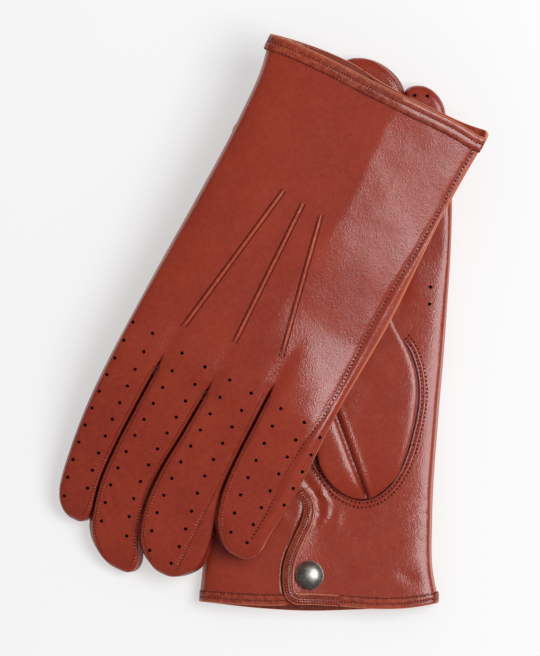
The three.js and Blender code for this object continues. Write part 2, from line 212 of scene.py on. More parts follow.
# Creases: x0, y0, x1, y1, depth (negative for a raised fold) and half width.
BACK_CREASES = [
    (22, 222, 27, 216, 0.5, 1.0), (21, 226, 27.5, 221, 0.5, 0.9), (23, 231, 28, 226, 0.45, 0.8),
    (24.5, 209, 30, 206, 0.4, 0.9), (24, 212.5, 29, 210.5, -0.3, 1.0),
    (-25, 207, -21, 200, 0.5, 0.8), (-27, 208.5, -21.5, 206.5, 0.4, 0.7), (-24, 196, -19, 190, 0.3, 0.9),
    (36, 178, 31.5, 170, 0.3, 1.0), (38, 183, 35, 176, 0.3, 1.0), (37, 207, 35.5, 200, 0.35, 1.0),
    (5, 182, 9, 190, 0.25, 1.2), (-17, 222, -13.5, 214, 0.35, 0.9), (-18, 228, -14.5, 221, 0.35, 0.9),
    (-16, 215, -12.5, 208, 0.3, 0.8), (36.5, 214, 34.5, 210, 0.3, 0.8),
]
PALM_CREASES = [
    (-6, 57, -1.2, 51, -0.7, 0.9), (-1.2, 51, 2.2, 45, -0.9, 0.9), (2.2, 45, 2.4, 39, -0.8, 0.9),
    (2.4, 39, -0.5, 35, -0.5, 0.9), (-8, 55, -3.4, 49.5, 1.0, 1.5), (-3.4, 49.5, -0.9, 44.5, 1.3, 1.3),
    (-0.9, 44.5, -0.8, 40, 1.0, 1.1), (8.6, 42, 6, 32, -0.2, 1.8), (-4.5, 43, -4, 35, -0.3, 0.9),
    (-15, 36, -24, 44, -0.4, 3.0), (-20, 32, -29, 34, 0.25, 2.6),
    (40, 38, 49, 41, 0.12, 1.2), (41, 33, 49, 35, 0.12, 1.1), (40, 45, 49, 48, 0.1, 1.3),
    (42, 28, 49, 29, 0.1, 1.0), (43, 22, 50, 22.5, 0.1, 1.1), (34, 15, 45, 11, 0.3, 2.2),
    (-30, 120, 30, 128, 0.35, 3.0), (-35, 100, -8, 112, 0.3, 2.5), (-34, 60, -12, 78, 0.3, 3.5),
]


def creases(table, x, y):
    total = np.zeros_like(x)
    for x0, y0, x1, y1, depth, width in table:
        d, t = to_segment(x, y, x0, y0, x1, y1)
        total -= depth * bell(d, width) * np.sin(np.pi * np.clip(0.12 + 0.76 * t, 0, 1))
    return total


RING_SEAM = -13.8  # the ring finger's seam runs straight on where its fourchette comes into view
SIDE_SEAM = curve((0, -50.8), (20, -48.9), (50, -47.4), (93, -43.6), (139, -42), (167, -38.3), (192, -38),
                  (206, -37))
POINTS = [((17.2, 60), (30.8, 134)), ((7.2, 61.5), (7.5, 130)), ((-2.0, 62.4), (-13.8, 127))]


class Skin:
    """The outer surface of one glove."""

    def __init__(self, side):
        self.side = side
        self.on_its_back = side == "right"
        across = np.array(JOINTS[f"{side}_middle_fold"]["axis"], float)
        opening = JOINTS[f"{side}_snap_flap_open"]
        line = np.array(opening["axis"], float) * (1 if self.on_its_back else -1)
        along = (line - FOLD_LINE[0] * across) / FOLD_LINE[1]
        along /= np.linalg.norm(along)
        out = np.cross(across, along) * (-1 if self.on_its_back else 1)
        self.axes = np.array([across, along, out])
        self.origin = np.array(opening["pos_m"]) * 1000 - np.array(FLAP_HINGE) @ self.axes
        self.bend = []
        step = 0.25
        self.stations = np.arange(-20, 260, step)
        for finger in FINGERS:
            droop = 0 if self.on_its_back else math.radians(finger["droop"])
            angle = droop * smooth(self.stations, SPLIT + 1, SPLIT + 25)
            along_y = np.cumsum(np.cos(angle)) * step
            down = -np.cumsum(np.sin(angle)) * step
            along_y += self.stations[0] - along_y[0]
            self.bend.append((angle, along_y, down))
        self.seed = 11 if self.on_its_back else 5
        self.tips = [finger["tip"] - (finger["shorter"] if self.on_its_back else 0) for finger in FINGERS]

    def world(self, points):
        """Glove millimetres to the row's metres."""
        return (np.asarray(points) @ self.axes + self.origin) / 1000

    def edges(self, i, y):
        """The two sides of a finger's strip, and its middle and half width, with the rounded tip."""
        finger = FINGERS[i]
        seen = np.interp(y, self.stations, self.bend[i][1])
        left, right = LINES[i](seen), LINES[i + 1](seen)
        if finger["crotch"][0]:
            left = left + GAP * smooth(y, finger["crotch"][0] - 1, finger["crotch"][0] + 3)
        if finger["crotch"][1]:
            right = right - GAP * smooth(y, finger["crotch"][1] - 1, finger["crotch"][1] + 3)
        start = self.tips[i] - finger["round"]
        middle = (left + right) / 2 + finger["lean"] * np.maximum(y - start, 0)
        half = (right - left) / 2 * self.cap(i, y)
        return middle - half, middle + half, middle, half

    def cap(self, i, y):
        rounded = FINGERS[i]["round"]
        t = np.clip((y - self.tips[i] + rounded) / rounded, 0, 1)
        return (1 - t**2.2) ** (1 / 2.2)

    def opening(self, i, u, y):
        """How far the strip has turned from the flat of the hand into a finger of its own, 0 to 1."""
        ends = []
        for crotch in FINGERS[i]["crotch"]:
            low, high = (crotch - 3, crotch + 6) if crotch else (126, 166)
            ends.append(smooth(y, low, high))
        share = smooth(u, -1, 1)
        return ends[0] * (1 - share) + ends[1] * share

    def height(self, i, u, x, y, level):
        """Height of the outer surface above the middle plane: level 1 is the back, -1 the palm."""
        left, right = PINKY_SIDE(y), INDEX_SIDE(y)
        middle = (left + right) / 2
        if (self.side, level) == ("left", 1):
            crest = CREST(y) + CREST_WANDER * noise(x, y, 31, 7)
        else:
            crest = middle + (PALM_CREST if (self.side, level) == ("right", -1) else 0)
        across = np.where(x < crest, (crest - x) / (crest - left), (x - crest) / (right - crest))
        across = np.clip(across, 0, 1)
        pinky_form, index_form = FORMS[self.side, level]
        pinky_form = pinky_form + max(FLAT_FORM - pinky_form, 0) * smooth(y, 105, 150)
        form = np.where(x < crest, pinky_form, index_form)
        hand = SIDE + (HAND_HALF(y) - SIDE) * (1 - across**form) ** (1 / form)
        folded = {0: smooth(-u, -0.6, 1), 3: smooth(u, -0.6, 1)}.get(i, 0)
        side = FINGER_SIDE + (SIDE - FINGER_SIDE) * folded
        crown = (1 - np.clip(np.abs(u), 0, 1) ** FINGER_FORM) ** (1 / FINGER_FORM)
        finger = side + (FINGER_HALF(y) - side) * crown
        opened = self.opening(i, u, y)
        z = hand * (1 - opened) + finger * opened
        z = z * np.clip(self.cap(i, y), 0.02, 1) ** 0.6
        z = z + self.detail(x, y, level) * self.keep_detail(i, u, y)
        for line, crotch in zip(LINES[1:4], CROTCHES[1:4]):
            dip = CROTCH_DIP * smooth(y, crotch - 28, crotch) * (1 - smooth(y, crotch, crotch + 8))
            z = z - dip * bell(x - line(y), 3.2)
        if self.on_its_back and level > 0:
            z = np.minimum(z, BACK_FLAT - 0.02)
        return z * level

    def keep_detail(self, i, u, y):
        """Details fade at the tips and at the sides of a finger that stands alone."""
        edge = np.clip((1 - np.abs(u)) * 4, 0, 1)
        opened = self.opening(i, u, y)
        outer = {0: np.clip((1 + u) * 4, 0, 1), 3: np.clip((1 - u) * 4, 0, 1)}.get(i, 1)
        return (edge * opened + outer * (1 - opened)) * self.cap(i, y)

    def detail(self, x, y, level):
        """Wrinkles, creases and the side seam's groove, added to the height."""
        seed = self.seed + (0 if level > 0 else 50)
        z = 0.22 * noise(x, y, 27, seed) + 0.08 * noise(x, y, 9, seed + 1) + 0.02 * noise(x, y, 3.2, seed + 2)
        if level > 0:
            z = z + creases(BACK_CREASES, x, y)
            off = x - SIDE_SEAM(y)
            fade = 1 - smooth(y, 196, 206)
            z = z - 0.55 * bell(off, 0.75) * fade + 0.3 * smooth(-off, 0.6, 2.2) * fade
        else:
            z = z + creases(PALM_CREASES, x, y)
        return z

    def place(self, i, x, y, z):
        """The glove-frame point of a strip's (x, y, z), bent down with its finger."""
        angle, along, down = (np.interp(y, self.stations, row) for row in self.bend[i])
        back = smooth(z, -1.5, 1.5)
        edge = WRIST_EDGES[self.side, 1](x) * back + WRIST_EDGES[self.side, -1](x) * (1 - back)
        along = along + edge * (1 - smooth(y, 0, 26))
        return np.stack([x + 0 * y, along + z * np.sin(angle), down + z * np.cos(angle)], -1)

    def on(self, x, y, level, lift=0.0, strip=None):
        """Points and normals on the surface at plan positions, raised by lift."""
        x, y = np.asarray(x, float), np.asarray(y, float)
        if strip is None:
            strip = sum((x > line(y)).astype(int) for line in LINES[1:4])
        strip = np.broadcast_to(strip, x.shape)
        points, normals = np.zeros(x.shape + (3,)), np.zeros(x.shape + (3,))
        reach = 0.3
        for i in range(4):
            chosen = strip == i
            if not chosen.any():
                continue

            def at(px, py):
                left, right, middle, half = self.edges(i, py)
                px = np.clip(px, left + 0.02, right - 0.02)
                u = (px - middle) / np.maximum(half, 1e-3)
                return self.place(i, px, py, self.height(i, u, px, py, level))

            px, py = x[chosen], y[chosen]
            across = at(px + reach, py) - at(px - reach, py)
            along = at(px, py + reach) - at(px, py - reach)
            n = unit(np.cross(across, along) * level)
            points[chosen] = at(px, py) + n * lift
            normals[chosen] = n
        return points, normals


# ---------------------------------------------------------------------------------------------------------
# Meshes
# ---------------------------------------------------------------------------------------------------------

def across_places(y):
    """Places across a strip from -1 to 1: even on the hand, closer to the sides on a finger."""
    even = np.linspace(-1, 1, COLUMNS + 1)[None, :]
    tight = np.sin(even * np.pi / 2)
    share = 0.85 * smooth(y, 90, 150)[:, None]
    return even * (1 - share) + tight * share


def side_points(start, end, bulge):
    """The two points between the upper and the lower edge of a side."""
    points = [start * (1 - share) + end * share for share in (1 / 3, 2 / 3)]
    for p in points:
        p[..., 0] += bulge
    return points


def closed_ring(upper, lower, bulge):
    """Cross-sections from an upper and a lower surface. bulge: how far the left and right side stand out."""
    right = side_points(upper[:, -1], lower[:, -1], bulge[1])
    left = side_points(lower[:, 0], upper[:, 0], -bulge[0])
    return np.stack([*upper.transpose(1, 0, 2), *right, *lower[:, ::-1].transpose(1, 0, 2), *left], 1)


def finger_ring(skin, i, y, inset=0.0):
    """Closed cross-sections of a finger at stations y, as rows of points. inset makes the inner surface."""
    finger = FINGERS[i]
    start = skin.tips[i] - finger["round"]
    outer_y = y
    y = np.where(y > start, start + (y - start) * (1 - inset / finger["round"]), y)
    middle, half = (v[:, None] for v in skin.edges(i, outer_y)[2:])
    u = across_places(outer_y)
    rows = y[:, None] + 0 * u
    x = middle + half * u
    thin = 1 - inset / FINGER_HALF(y)[:, None]
    inner_x = middle + np.maximum(half - inset, 0.2 * half) * u
    upper = skin.place(i, inner_x, rows, skin.height(i, u, x, outer_y[:, None] + 0 * u, 1) * thin)
    lower = skin.place(i, inner_x, rows, skin.height(i, u, x, outer_y[:, None] + 0 * u, -1) * thin)
    shrink = skin.cap(i, y)
    bulge = []
    for crotch in finger["crotch"]:
        if crotch:
            wide = GAP - 0.02 + 0.3 * smooth(y, crotch + 4, crotch + 40)
            bulge.append(wide * shrink + 1.1 * smooth(y, start - 14, start + 2) * shrink)
        else:
            bulge.append(FOLD_BULGE * shrink)
    bulge = [b * (1 - inset / 2) for b in bulge]
    return closed_ring(upper, lower, bulge)


def hand_columns(y):
    """Plan positions across the back, and across the palm with the wrist slit let in."""
    u = across_places(y)
    strips = []
    for i in range(4):
        left, right = LINES[i](y)[:, None], LINES[i + 1](y)[:, None]
        x = (left + right) / 2 + (right - left) / 2 * u
        strips.append(x if i == 0 else x[:, 1:])
    back = np.concatenate(strips, 1)
    palm = back.copy()
    b, a = SLIT_COLUMNS
    merge = smooth(y, SLIT_HEAD, SLIT_HEAD + 14)
    lap = 15 * smooth(SLIT_HEAD - y, 0, 18)
    right = flap_root(y)
    left = SLIT_EDGE(y)
    end_b = np.where(y < SLIT_HEAD, left + lap, back[:, b] * merge + (left + 0.02) * (1 - merge))
    end_a = np.where(y < SLIT_HEAD, right, back[:, a] * merge + right * (1 - merge))
    low, high = back[:, :1], back[:, -1:]
    palm[:, :b + 1] = low + (back[:, :b + 1] - low) * ((end_b[:, None] - low) / (back[:, b:b + 1] - low))
    palm[:, a:] = high - (high - back[:, a:]) * ((high - end_a[:, None]) / (high - back[:, a:a + 1]))
    return back, palm


def flap_root(y):
    """Where the flap joins the palm: the fold line, which closes on the slit at its head."""
    close = smooth(y, SLIT_HEAD - 9, SLIT_HEAD)
    return fold_at(y) * (1 - close) + (SLIT_EDGE(y) + 0.6) * close


def slit_dip(x, y):
    """The dip of the palm leather beside the slit."""
    edge = SLIT_EDGE(y)
    return SLIT_DIP * smooth(x, edge - 0.5, edge + 0.9) * smooth(SLIT_HEAD - y, 0, 14)


def surface(skin, x, y, level):
    """Points of the hand's outer surface at plan positions in strip order."""
    points = np.zeros(x.shape + (3,))
    strip = np.clip((np.arange(x.shape[1]) - 1) // COLUMNS, 0, 3)
    for i in range(4):
        columns = strip == i
        px = x[:, columns]
        py = y[:, None] + 0 * px
        middle, half = skin.edges(i, py)[2:]
        u = np.clip((px - middle) / half, -1, 1)
        points[:, columns] = skin.place(i, px, py, skin.height(i, u, px, py, level))
    return points


def hand_ring(skin, y, inset=0.0):
    """Cross-sections of the hand at stations y. The palm columns next to the slit leave it open."""
    back, palm = hand_columns(y)
    upper = surface(skin, back, y, 1)
    lower = surface(skin, palm, y, -1)
    dips = slit_dip(palm, y[:, None] + 0 * palm) * (np.arange(palm.shape[1]) <= SLIT_COLUMNS[0])
    lower[..., 2] += dips
    for sheet, plan in ((upper, back), (lower, palm)):
        middle = (plan[:, :1] + plan[:, -1:]) / 2
        width = (plan[:, -1:] - plan[:, :1]) / 2
        sheet[..., 0] -= (plan - middle) * inset / width
        sheet[..., 2] *= 1 - inset / 6.5
    return closed_ring(upper, lower, (FOLD_BULGE, FOLD_BULGE))


def grid(rows, columns, wrap=True, keep=None):
    """Quads of a grid of points, as vertex indices. keep(row, column) masks quads out."""
    r, c = np.meshgrid(np.arange(rows - 1), np.arange(columns if wrap else columns - 1), indexing="ij")
    nxt = (c + 1) % columns
    quads = np.stack([r * columns + c, r * columns + nxt, (r + 1) * columns + nxt, (r + 1) * columns + c], -1)
    if keep is not None:
        quads = quads[keep(r, c)]
    return quads.reshape(-1, 4)


def tube(count, size):
    """Faces of a tube of rings, closed at both ends."""
    faces = [tuple(q) for q in grid(count, size).tolist()]
    return faces + [tuple(range(size - 1, -1, -1)), tuple(range((count - 1) * size, count * size))]


def fan(ring, tip):
    """Triangles from a ring of vertices to one vertex, as quads with their last corner doubled."""
    return np.array([(ring[k], ring[(k + 1) % len(ring)], tip, tip) for k in range(len(ring))])


def shell(outer, inner, quads):
    """Closed shell of an outer and an inner surface with the same quads. Returns points, faces and, for each
    face, 0 for outside, 1 for inside and 2 for a cut edge."""
    count = len(outer)
    faces = [tuple(dict.fromkeys(q)) for q in quads.tolist()]
    edges = {(face[k - 1], face[k]) for face in faces for k in range(len(face))}
    rim = [(b, a, a + count, b + count) for a, b in edges if (b, a) not in edges]
    inside = [tuple(v + count for v in reversed(face)) for face in faces]
    kinds = [0] * len(faces) + [1] * len(inside) + [2] * len(rim)
    return np.vstack([outer, inner]), faces + inside + sorted(rim), kinds


def make(name, points, faces, materials, kinds=None, shaded=True):
    """A Blender object from row-frame points in metres, with its faces turned outwards."""
    points = np.asarray(points, float)
    used = np.zeros(len(points), bool)
    for face in faces:
        used[list(face)] = True
    index = np.cumsum(used) - 1
    mesh = bpy.data.meshes.new(name)
    mesh.from_pydata(points[used].tolist(), [], [tuple(int(index[v]) for v in face) for face in faces])
    for material in materials:
        mesh.materials.append(material)
    if kinds is not None:
        mesh.polygons.foreach_set("material_index", np.array(kinds, np.int32))
        mesh.polygons.foreach_set("use_smooth", np.array(kinds) != 2)
    else:
        mesh.polygons.foreach_set("use_smooth", np.full(len(faces), shaded))
    mesh.update()
    if volume(mesh) < 0:
        mesh.flip_normals()
    obj = bpy.data.objects.new(name, mesh)
    bpy.context.scene.collection.objects.link(obj)
    return obj


def volume(mesh):
    """Signed volume of a closed mesh."""
    mesh.calc_loop_triangles()
    places = np.zeros(len(mesh.vertices) * 3, np.float32)
    mesh.vertices.foreach_get("co", places)
    corners = np.zeros(len(mesh.loop_triangles) * 3, np.int32)
    mesh.loop_triangles.foreach_get("vertices", corners)
    a, b, c = places.reshape(-1, 3).astype(float)[corners.reshape(-1, 3)].transpose(1, 0, 2)
    return float((a * np.cross(b, c)).sum() / 6)


def punch(obj, centres, normals):
    """Punches round holes through the leather of a piece at row-frame centres."""
    if not len(centres):
        return
    sides = 12
    points, faces = [], []
    for centre, normal in zip(centres, normals):
        n = Vector(normal).normalized()
        a = n.orthogonal().normalized()
        b = n.cross(a)
        base = len(points)
        for depth in (1.4, -2.0):
            for k in range(sides):
                turn = 2 * math.pi * k / sides
                around = (a * math.cos(turn) + b * math.sin(turn)) * HOLE["radius"]
                points.append(Vector(centre) + (around + n * depth) / 1000)
        faces.append(tuple(base + k for k in range(sides)))
        faces.append(tuple(base + 2 * sides - 1 - k for k in range(sides)))
        for k in range(sides):
            nxt = (k + 1) % sides
            faces.append((base + k, base + sides + k, base + sides + nxt, base + nxt))
    cutter = make("hole_cutter", points, faces, [HOLE_WALL_SHADE], shaded=False)
    modifier = obj.modifiers.new("holes", "BOOLEAN")
    modifier.object = cutter
    modifier.operation = "DIFFERENCE"
    modifier.solver = "MANIFOLD"
    modifier.material_mode = "TRANSFER"
    apply_modifiers(obj)
    bpy.data.objects.remove(cutter)


def apply_modifiers(obj):
    graph = bpy.context.evaluated_depsgraph_get()
    done = bpy.data.meshes.new_from_object(obj.evaluated_get(graph))
    old = obj.data
    obj.modifiers.clear()
    obj.data = done
    bpy.data.meshes.remove(old)


class Normals:
    """Smooth normals of a surface that is made as several pieces, so that no joint between them shows."""

    def __init__(self, mirrored):
        self.sign = -1 if mirrored else 1
        self.points, self.quads, self.count = [], [], 0

    def add(self, points, quads):
        self.points.append(np.asarray(points, float))
        self.quads.append(quads + self.count)
        self.count += len(points)

    def finish(self):
        points = np.vstack(self.points)
        quads = np.vstack(self.quads)
        keys, merged = np.unique(np.round(points * 2e6).astype(np.int64), axis=0, return_inverse=True)
        merged = merged.reshape(-1)
        corners = points[quads]
        normals = np.cross(corners[:, 2] - corners[:, 0], corners[:, 3] - corners[:, 1]) * self.sign
        total = np.zeros((len(keys), 3))
        for k in range(4):
            np.add.at(total, merged[quads[:, k]], normals)
        places = np.zeros((len(keys), 3))
        places[merged] = points
        used = np.zeros(len(keys), bool)
        used[merged[quads]] = True
        self.places = places[used]
        self.normals = unit(total[used])
        self.tree = KDTree(len(self.places))
        for k, place in enumerate(self.places):
            self.tree.insert(place, k)
        self.tree.balance()

    def at(self, place):
        found = self.tree.find_n(place, 3)
        if found[0][2] < 2e-6:
            return Vector(self.normals[found[0][1]])
        total = Vector((0, 0, 0))
        for _, k, distance in found:
            total += Vector(self.normals[k]) / (distance + 1e-7)
        return total.normalized()

    def give(self, obj):
        """Sets the outside's corner normals. The inside and the cut edges keep their own."""
        mesh = obj.data
        mesh.update()
        none = Vector((0, 0, 0))
        corners = [none] * len(mesh.loops)
        looked = {}
        for polygon in mesh.polygons:
            if polygon.material_index != 0:
                continue
            flat = polygon.normal.copy()
            for loop in polygon.loop_indices:
                v = mesh.loops[loop].vertex_index
                if v not in looked:
                    looked[v] = self.at(mesh.vertices[v].co)
                corners[loop] = looked[v] if looked[v].dot(flat) > 0.2 else flat
        mesh.normals_split_custom_set(corners)


def frames(points, normals):
    """Unit tangents and side directions along a path."""
    tangents = unit(np.gradient(points, axis=0))
    return tangents, unit(np.cross(tangents, normals))


def resample(points, normals, pitch, phase=0.0):
    """A path's points and normals at an even pitch."""
    steps = np.linalg.norm(np.diff(points, axis=0), axis=1)
    along = np.concatenate([[0], np.cumsum(steps)])
    places = np.arange(pitch * (0.5 + phase), along[-1], pitch)
    pick = lambda rows: np.stack([np.interp(places, along, rows[:, k]) for k in range(3)], 1)
    return pick(points), unit(pick(normals))


def ribbon(points, normals, profile, taper=0.0, sides=None):
    """Points and faces of a strip swept along a path in glove millimetres. The profile is a closed outline of
    (to the side, up). taper is how many steps at each end shrink to nothing."""
    if sides is None:
        _, sides = frames(points, normals)
    outline = np.array(profile, float)
    count = len(points)
    grow = np.ones(count)
    if taper:
        grow = np.clip(np.minimum(np.arange(count), np.arange(count)[::-1]) / taper, 0.03, 1) ** 0.5
    rows = (points[:, None, :] + sides[:, None, :] * outline[None, :, :1] * grow[:, None, None]
            + normals[:, None, :] * outline[None, :, 1:] * grow[:, None, None])
    return rows.reshape(-1, 3), tube(count, len(outline))


def joined(parts):
    """Several (points, faces) as one."""
    points, faces, base = [], [], 0
    for p, f in parts:
        points.append(p)
        faces += [tuple(v + base for v in face) for face in f]
        base += len(p)
    return np.vstack(points), faces


# The rings of a stitch: place along it and size. It ends in a point, inside the leather.
BEAD_RINGS = [(-0.42, 0.62), (-0.2, 1), (0.2, 1), (0.42, 0.62)]


def beads(points, normals, pitch, width=0.5, height=0.42, share=0.8, phase=0.0, turned=0.0):
    """A row of stitches along a path, or across it where turned gives their length."""
    p, n = resample(points, normals, pitch, phase)
    t, s = frames(p, n)
    sides = 6
    ends = pitch * share
    if turned:
        t, s = s, -t
        ends = turned
    verts, faces = [], []
    for centre, along, side, up in zip(p, t * ends, s * width / 2, n):
        base = len(verts)
        verts.append(centre - along / 2 - up * 0.15)
        for place, size in BEAD_RINGS:
            for turn in 2 * math.pi * np.arange(sides) / sides:
                raised = height * (size * math.sin(turn) * 0.5 + 0.1)
                verts.append(centre + along * place + side * size * math.cos(turn) + up * raised)
        verts.append(centre + along / 2 - up * 0.15)
        last = len(verts) - 1
        rows = [tuple(q) for q in (grid(len(BEAD_RINGS), sides) + base + 1).tolist()]
        for j in range(sides):
            nxt = (j + 1) % sides
            rows += [(base, base + 1 + nxt, base + 1 + j), (last - sides + j, last - sides + nxt, last)]
        faces += rows
    return np.array(verts), faces


# ---------------------------------------------------------------------------------------------------------
# Materials
# ---------------------------------------------------------------------------------------------------------

def srgb(r, g, b):
    """A linear colour from 0-255 screen values."""
    line = [((v / 255 + 0.055) / 1.055) ** 2.4 if v > 10 else v / 3295 for v in (r, g, b)]
    return (*line, 1.0)


class Nodes:
    """Short calls for building a material's nodes."""

    def __init__(self, name):
        self.material = bpy.data.materials.new(name)
        self.material.use_nodes = True
        self.tree = self.material.node_tree
        self.shader = self.tree.nodes["Principled BSDF"]
        where = self.tree.nodes.new("ShaderNodeTexCoord")
        scale = self.tree.nodes.new("ShaderNodeMapping")
        scale.inputs["Scale"].default_value = (1000, 1000, 1000)
        self.tree.links.new(where.outputs["Object"], scale.inputs["Vector"])
        self.place = scale.outputs["Vector"]

    def link(self, value, socket):
        if hasattr(value, "is_linked"):
            self.tree.links.new(value, socket)
        else:
            socket.default_value = value

    def add(self, kind, settings=(), **inputs):
        """A new node with its settings and inputs. An underscore in an input's name stands for a space."""
        node = self.tree.nodes.new("ShaderNode" + kind)
        for name, value in dict(settings).items():
            setattr(node, name, value)
        for name, value in inputs.items():
            self.link(value, node.inputs[name.replace("_", " ")])
        return node

    def noise(self, size, detail=3.0, stretch=(1, 1, 1), roughness=0.55):
        """Noise whose features are about size millimetres."""
        place = self.add("Mapping", Scale=stretch, Vector=self.place).outputs["Vector"]
        node = self.add("TexNoise", Scale=1 / size, Detail=detail, Roughness=roughness, Vector=place)
        return node.outputs["Fac"]

    def cells(self, size):
        """Rounded cells of about size millimetres."""
        inputs = {"Scale": 1 / size, "Smoothness": 0.4, "Vector": self.place}
        return self.add("TexVoronoi", {"feature": "SMOOTH_F1"}, **inputs).outputs["Distance"]

    def map(self, value, low, high, out_low, out_high):
        ends = {"From Min": low, "From Max": high, "To Min": out_low, "To Max": out_high}
        return self.add("MapRange", Value=value, **ends).outputs["Result"]

    def mix(self, factor, a, b, blend="MIX"):
        node = self.add("Mix", {"data_type": "RGBA", "blend_type": blend}, Factor=factor, A=a, B=b)
        return next(output for output in node.outputs if output.type == "RGBA")

    def bump(self, height, strength, distance, below=None):
        """A bump of distance millimetres, on top of the one below."""
        node = self.add("Bump", Height=height, Strength=strength, Distance=distance / 1000)
        if below is not None:
            self.link(below, node.inputs["Normal"])
        return node.outputs["Normal"]

    def attribute(self, name):
        return self.add("Attribute", {"attribute_name": name}).outputs["Fac"]

    def set(self, **values):
        for name, value in values.items():
            self.link(value, self.shader.inputs[name.replace("_", " ")])


RUBBED_AND_LIT = srgb(212, 126, 94)  # the leather's colour where it is rubbed along a fold, lighter also as a painted highlight


def leather(name, base, deep, light, grain=1.0, shine=0.8):
    """Glossy dyed lambskin: cloudy dye, fine pebbled grain, soft creases, painted shade beside seams and in
    grooves, rubbed folds lightened with a painted highlight.
    """
    base, deep, light = (srgb(*colour) for colour in (base, deep, light))
    n = Nodes(name)
    cloud = n.mix(n.map(n.noise(26, 2), 0.35, 0.68, 0, 1), deep, base)
    fine = n.mix(n.map(n.noise(2.2, 4), 0.4, 0.75, 0, 0.32), cloud, light)
    worn = n.mix(n.map(n.noise(7, 3), 0.55, 0.8, 0, 0.25), fine, light)
    # The seam attribute mixes in painted shade beside seams, in grooves and in gaps.
    shaded = n.mix(n.map(n.attribute("seam"), 0, 1, 0, 0.55), worn, deep, "MULTIPLY")
    # The rub attribute lightens rubbed folds and edges: partly wear, partly a painted highlight.
    n.set(Base_Color=n.mix(n.map(n.attribute("rub_and_highlight"), 0, 1, 0, 0.8), shaded, RUBBED_AND_LIT))
    n.set(Roughness=n.map(n.noise(5, 3), 0.3, 0.7, 0.44, 0.56))
    n.set(Specular_IOR_Level=0.12, Coat_Weight=shine, Coat_Roughness=0.15)
    creased = n.bump(n.noise(1.7, 5, (1, 0.6, 1), 0.7), 0.5 * grain, 0.12)
    pebbled = n.bump(n.cells(0.62), 0.55 * grain, 0.07, creased)
    n.set(Normal=n.bump(n.noise(0.4, 3), 0.4 * grain, 0.04, pebbled), Coat_Normal=pebbled)
    return n.material


def suede(name, colour, dark):
    """The flesh side and the cut edges of the leather."""
    n = Nodes(name)
    n.set(Base_Color=n.mix(n.noise(1.1, 4), srgb(*colour), srgb(*dark)), Roughness=0.92)
    n.set(Specular_IOR_Level=0.15, Normal=n.bump(n.noise(0.5, 4), 0.6, 0.15))
    return n.material


def thread_material():
    """Waxed thread, twisted finely."""
    n = Nodes("sewing thread")
    n.set(Base_Color=n.mix(n.noise(0.5, 2), srgb(100, 30, 19), srgb(74, 21, 13)), Roughness=0.7)
    n.set(Specular_IOR_Level=0.2, Normal=n.bump(n.noise(0.22, 2), 0.5, 0.06))
    return n.material


def metal(name, colour, dark, rough):
    """Antiqued metal: dull film in patches, fine scratches."""
    n = Nodes(name)
    n.set(Base_Color=n.mix(n.map(n.noise(2.4, 4), 0.35, 0.75, 0, 1), colour, dark), Metallic=1.0)
    n.set(Roughness=n.map(n.noise(1.4, 4), 0.3, 0.7, rough, rough + 0.12))
    n.set(Normal=n.bump(n.noise(0.3, 3, (1, 6, 1)), 0.12, 0.03))
    return n.material


def pale_floor():
    """A pale floor that glows a little, so that shadows on it stay faint."""
    n = Nodes("pale floor")
    n.set(Base_Color=(0.42, 0.42, 0.42, 1), Roughness=0.95, Specular_IOR_Level=0.0)
    n.set(Emission_Color=(1, 1, 1, 1), Emission_Strength=0.5)
    return n.material


LEATHER_OUT = leather("red-brown glove leather", (145, 49, 30), (136, 43, 27), (164, 67, 43))
LEATHER_HEM = leather("turned leather edge", (145, 50, 31), (112, 35, 22), (206, 112, 78), 1.2)
# Near-black leather for thin strips along seams: painted shade in the grooves that stitches pull in.
LEATHER_SEAM_SHADE = leather("painted shade in a stitched groove", (66, 17, 11), (50, 13, 9), (84, 26, 17), 1.0, 0.1)
# Smoother, lighter leather for the raised points' ridges: the lighter colour is a painted highlight.
LEATHER_RIDGE_HIGHLIGHT = leather("ridge leather with painted highlight", (174, 70, 46), (160, 58, 38), (206, 112, 82), 0.4, 1)
# Lighter leather for the puckers between stitches and the wrinkles near the tips: real puckers, with a
# painted highlight in their colour.
LEATHER_PUCKER_HIGHLIGHT = leather("puckered leather with painted highlight", (170, 66, 43), (156, 54, 35), (198, 100, 70), 0.4, 1)
LEATHER_IN = suede("flesh side of the leather", (150, 76, 60), (112, 50, 40))
# Cut edges: the raw edge's own pale colour, lightened further as a painted highlight along the edges.
LEATHER_CUT_AND_HIGHLIGHT = suede("cut leather edge and painted highlight", (222, 150, 118), (186, 106, 80))
# Near-black walls inside the perforations: painted shade in the holes.
HOLE_WALL_SHADE = suede("hole wall with painted shade", (70, 26, 20), (44, 16, 12))
THREAD = thread_material()
CAP_METAL = metal("antique pewter", (0.52, 0.5, 0.46, 1), (0.3, 0.28, 0.25, 1), 0.34)
INNER_METAL = metal("plated brass", (0.5, 0.46, 0.38, 1), (0.3, 0.27, 0.22, 1), 0.34)
# The outside, the inside and the cut edges of a shell.
SKIN_MATERIALS = [LEATHER_OUT, LEATHER_IN, LEATHER_CUT_AND_HIGHLIGHT]
HEM_MATERIALS = [LEATHER_HEM, LEATHER_IN, LEATHER_CUT_AND_HIGHLIGHT]


def paint(obj, name, values):
    """A shading attribute on a mesh's points."""
    attribute = obj.data.attributes.new(name, "FLOAT", "POINT")
    attribute.data.foreach_set("value", np.asarray(values, np.float32))


# ---------------------------------------------------------------------------------------------------------
# Pieces of a glove
# ---------------------------------------------------------------------------------------------------------

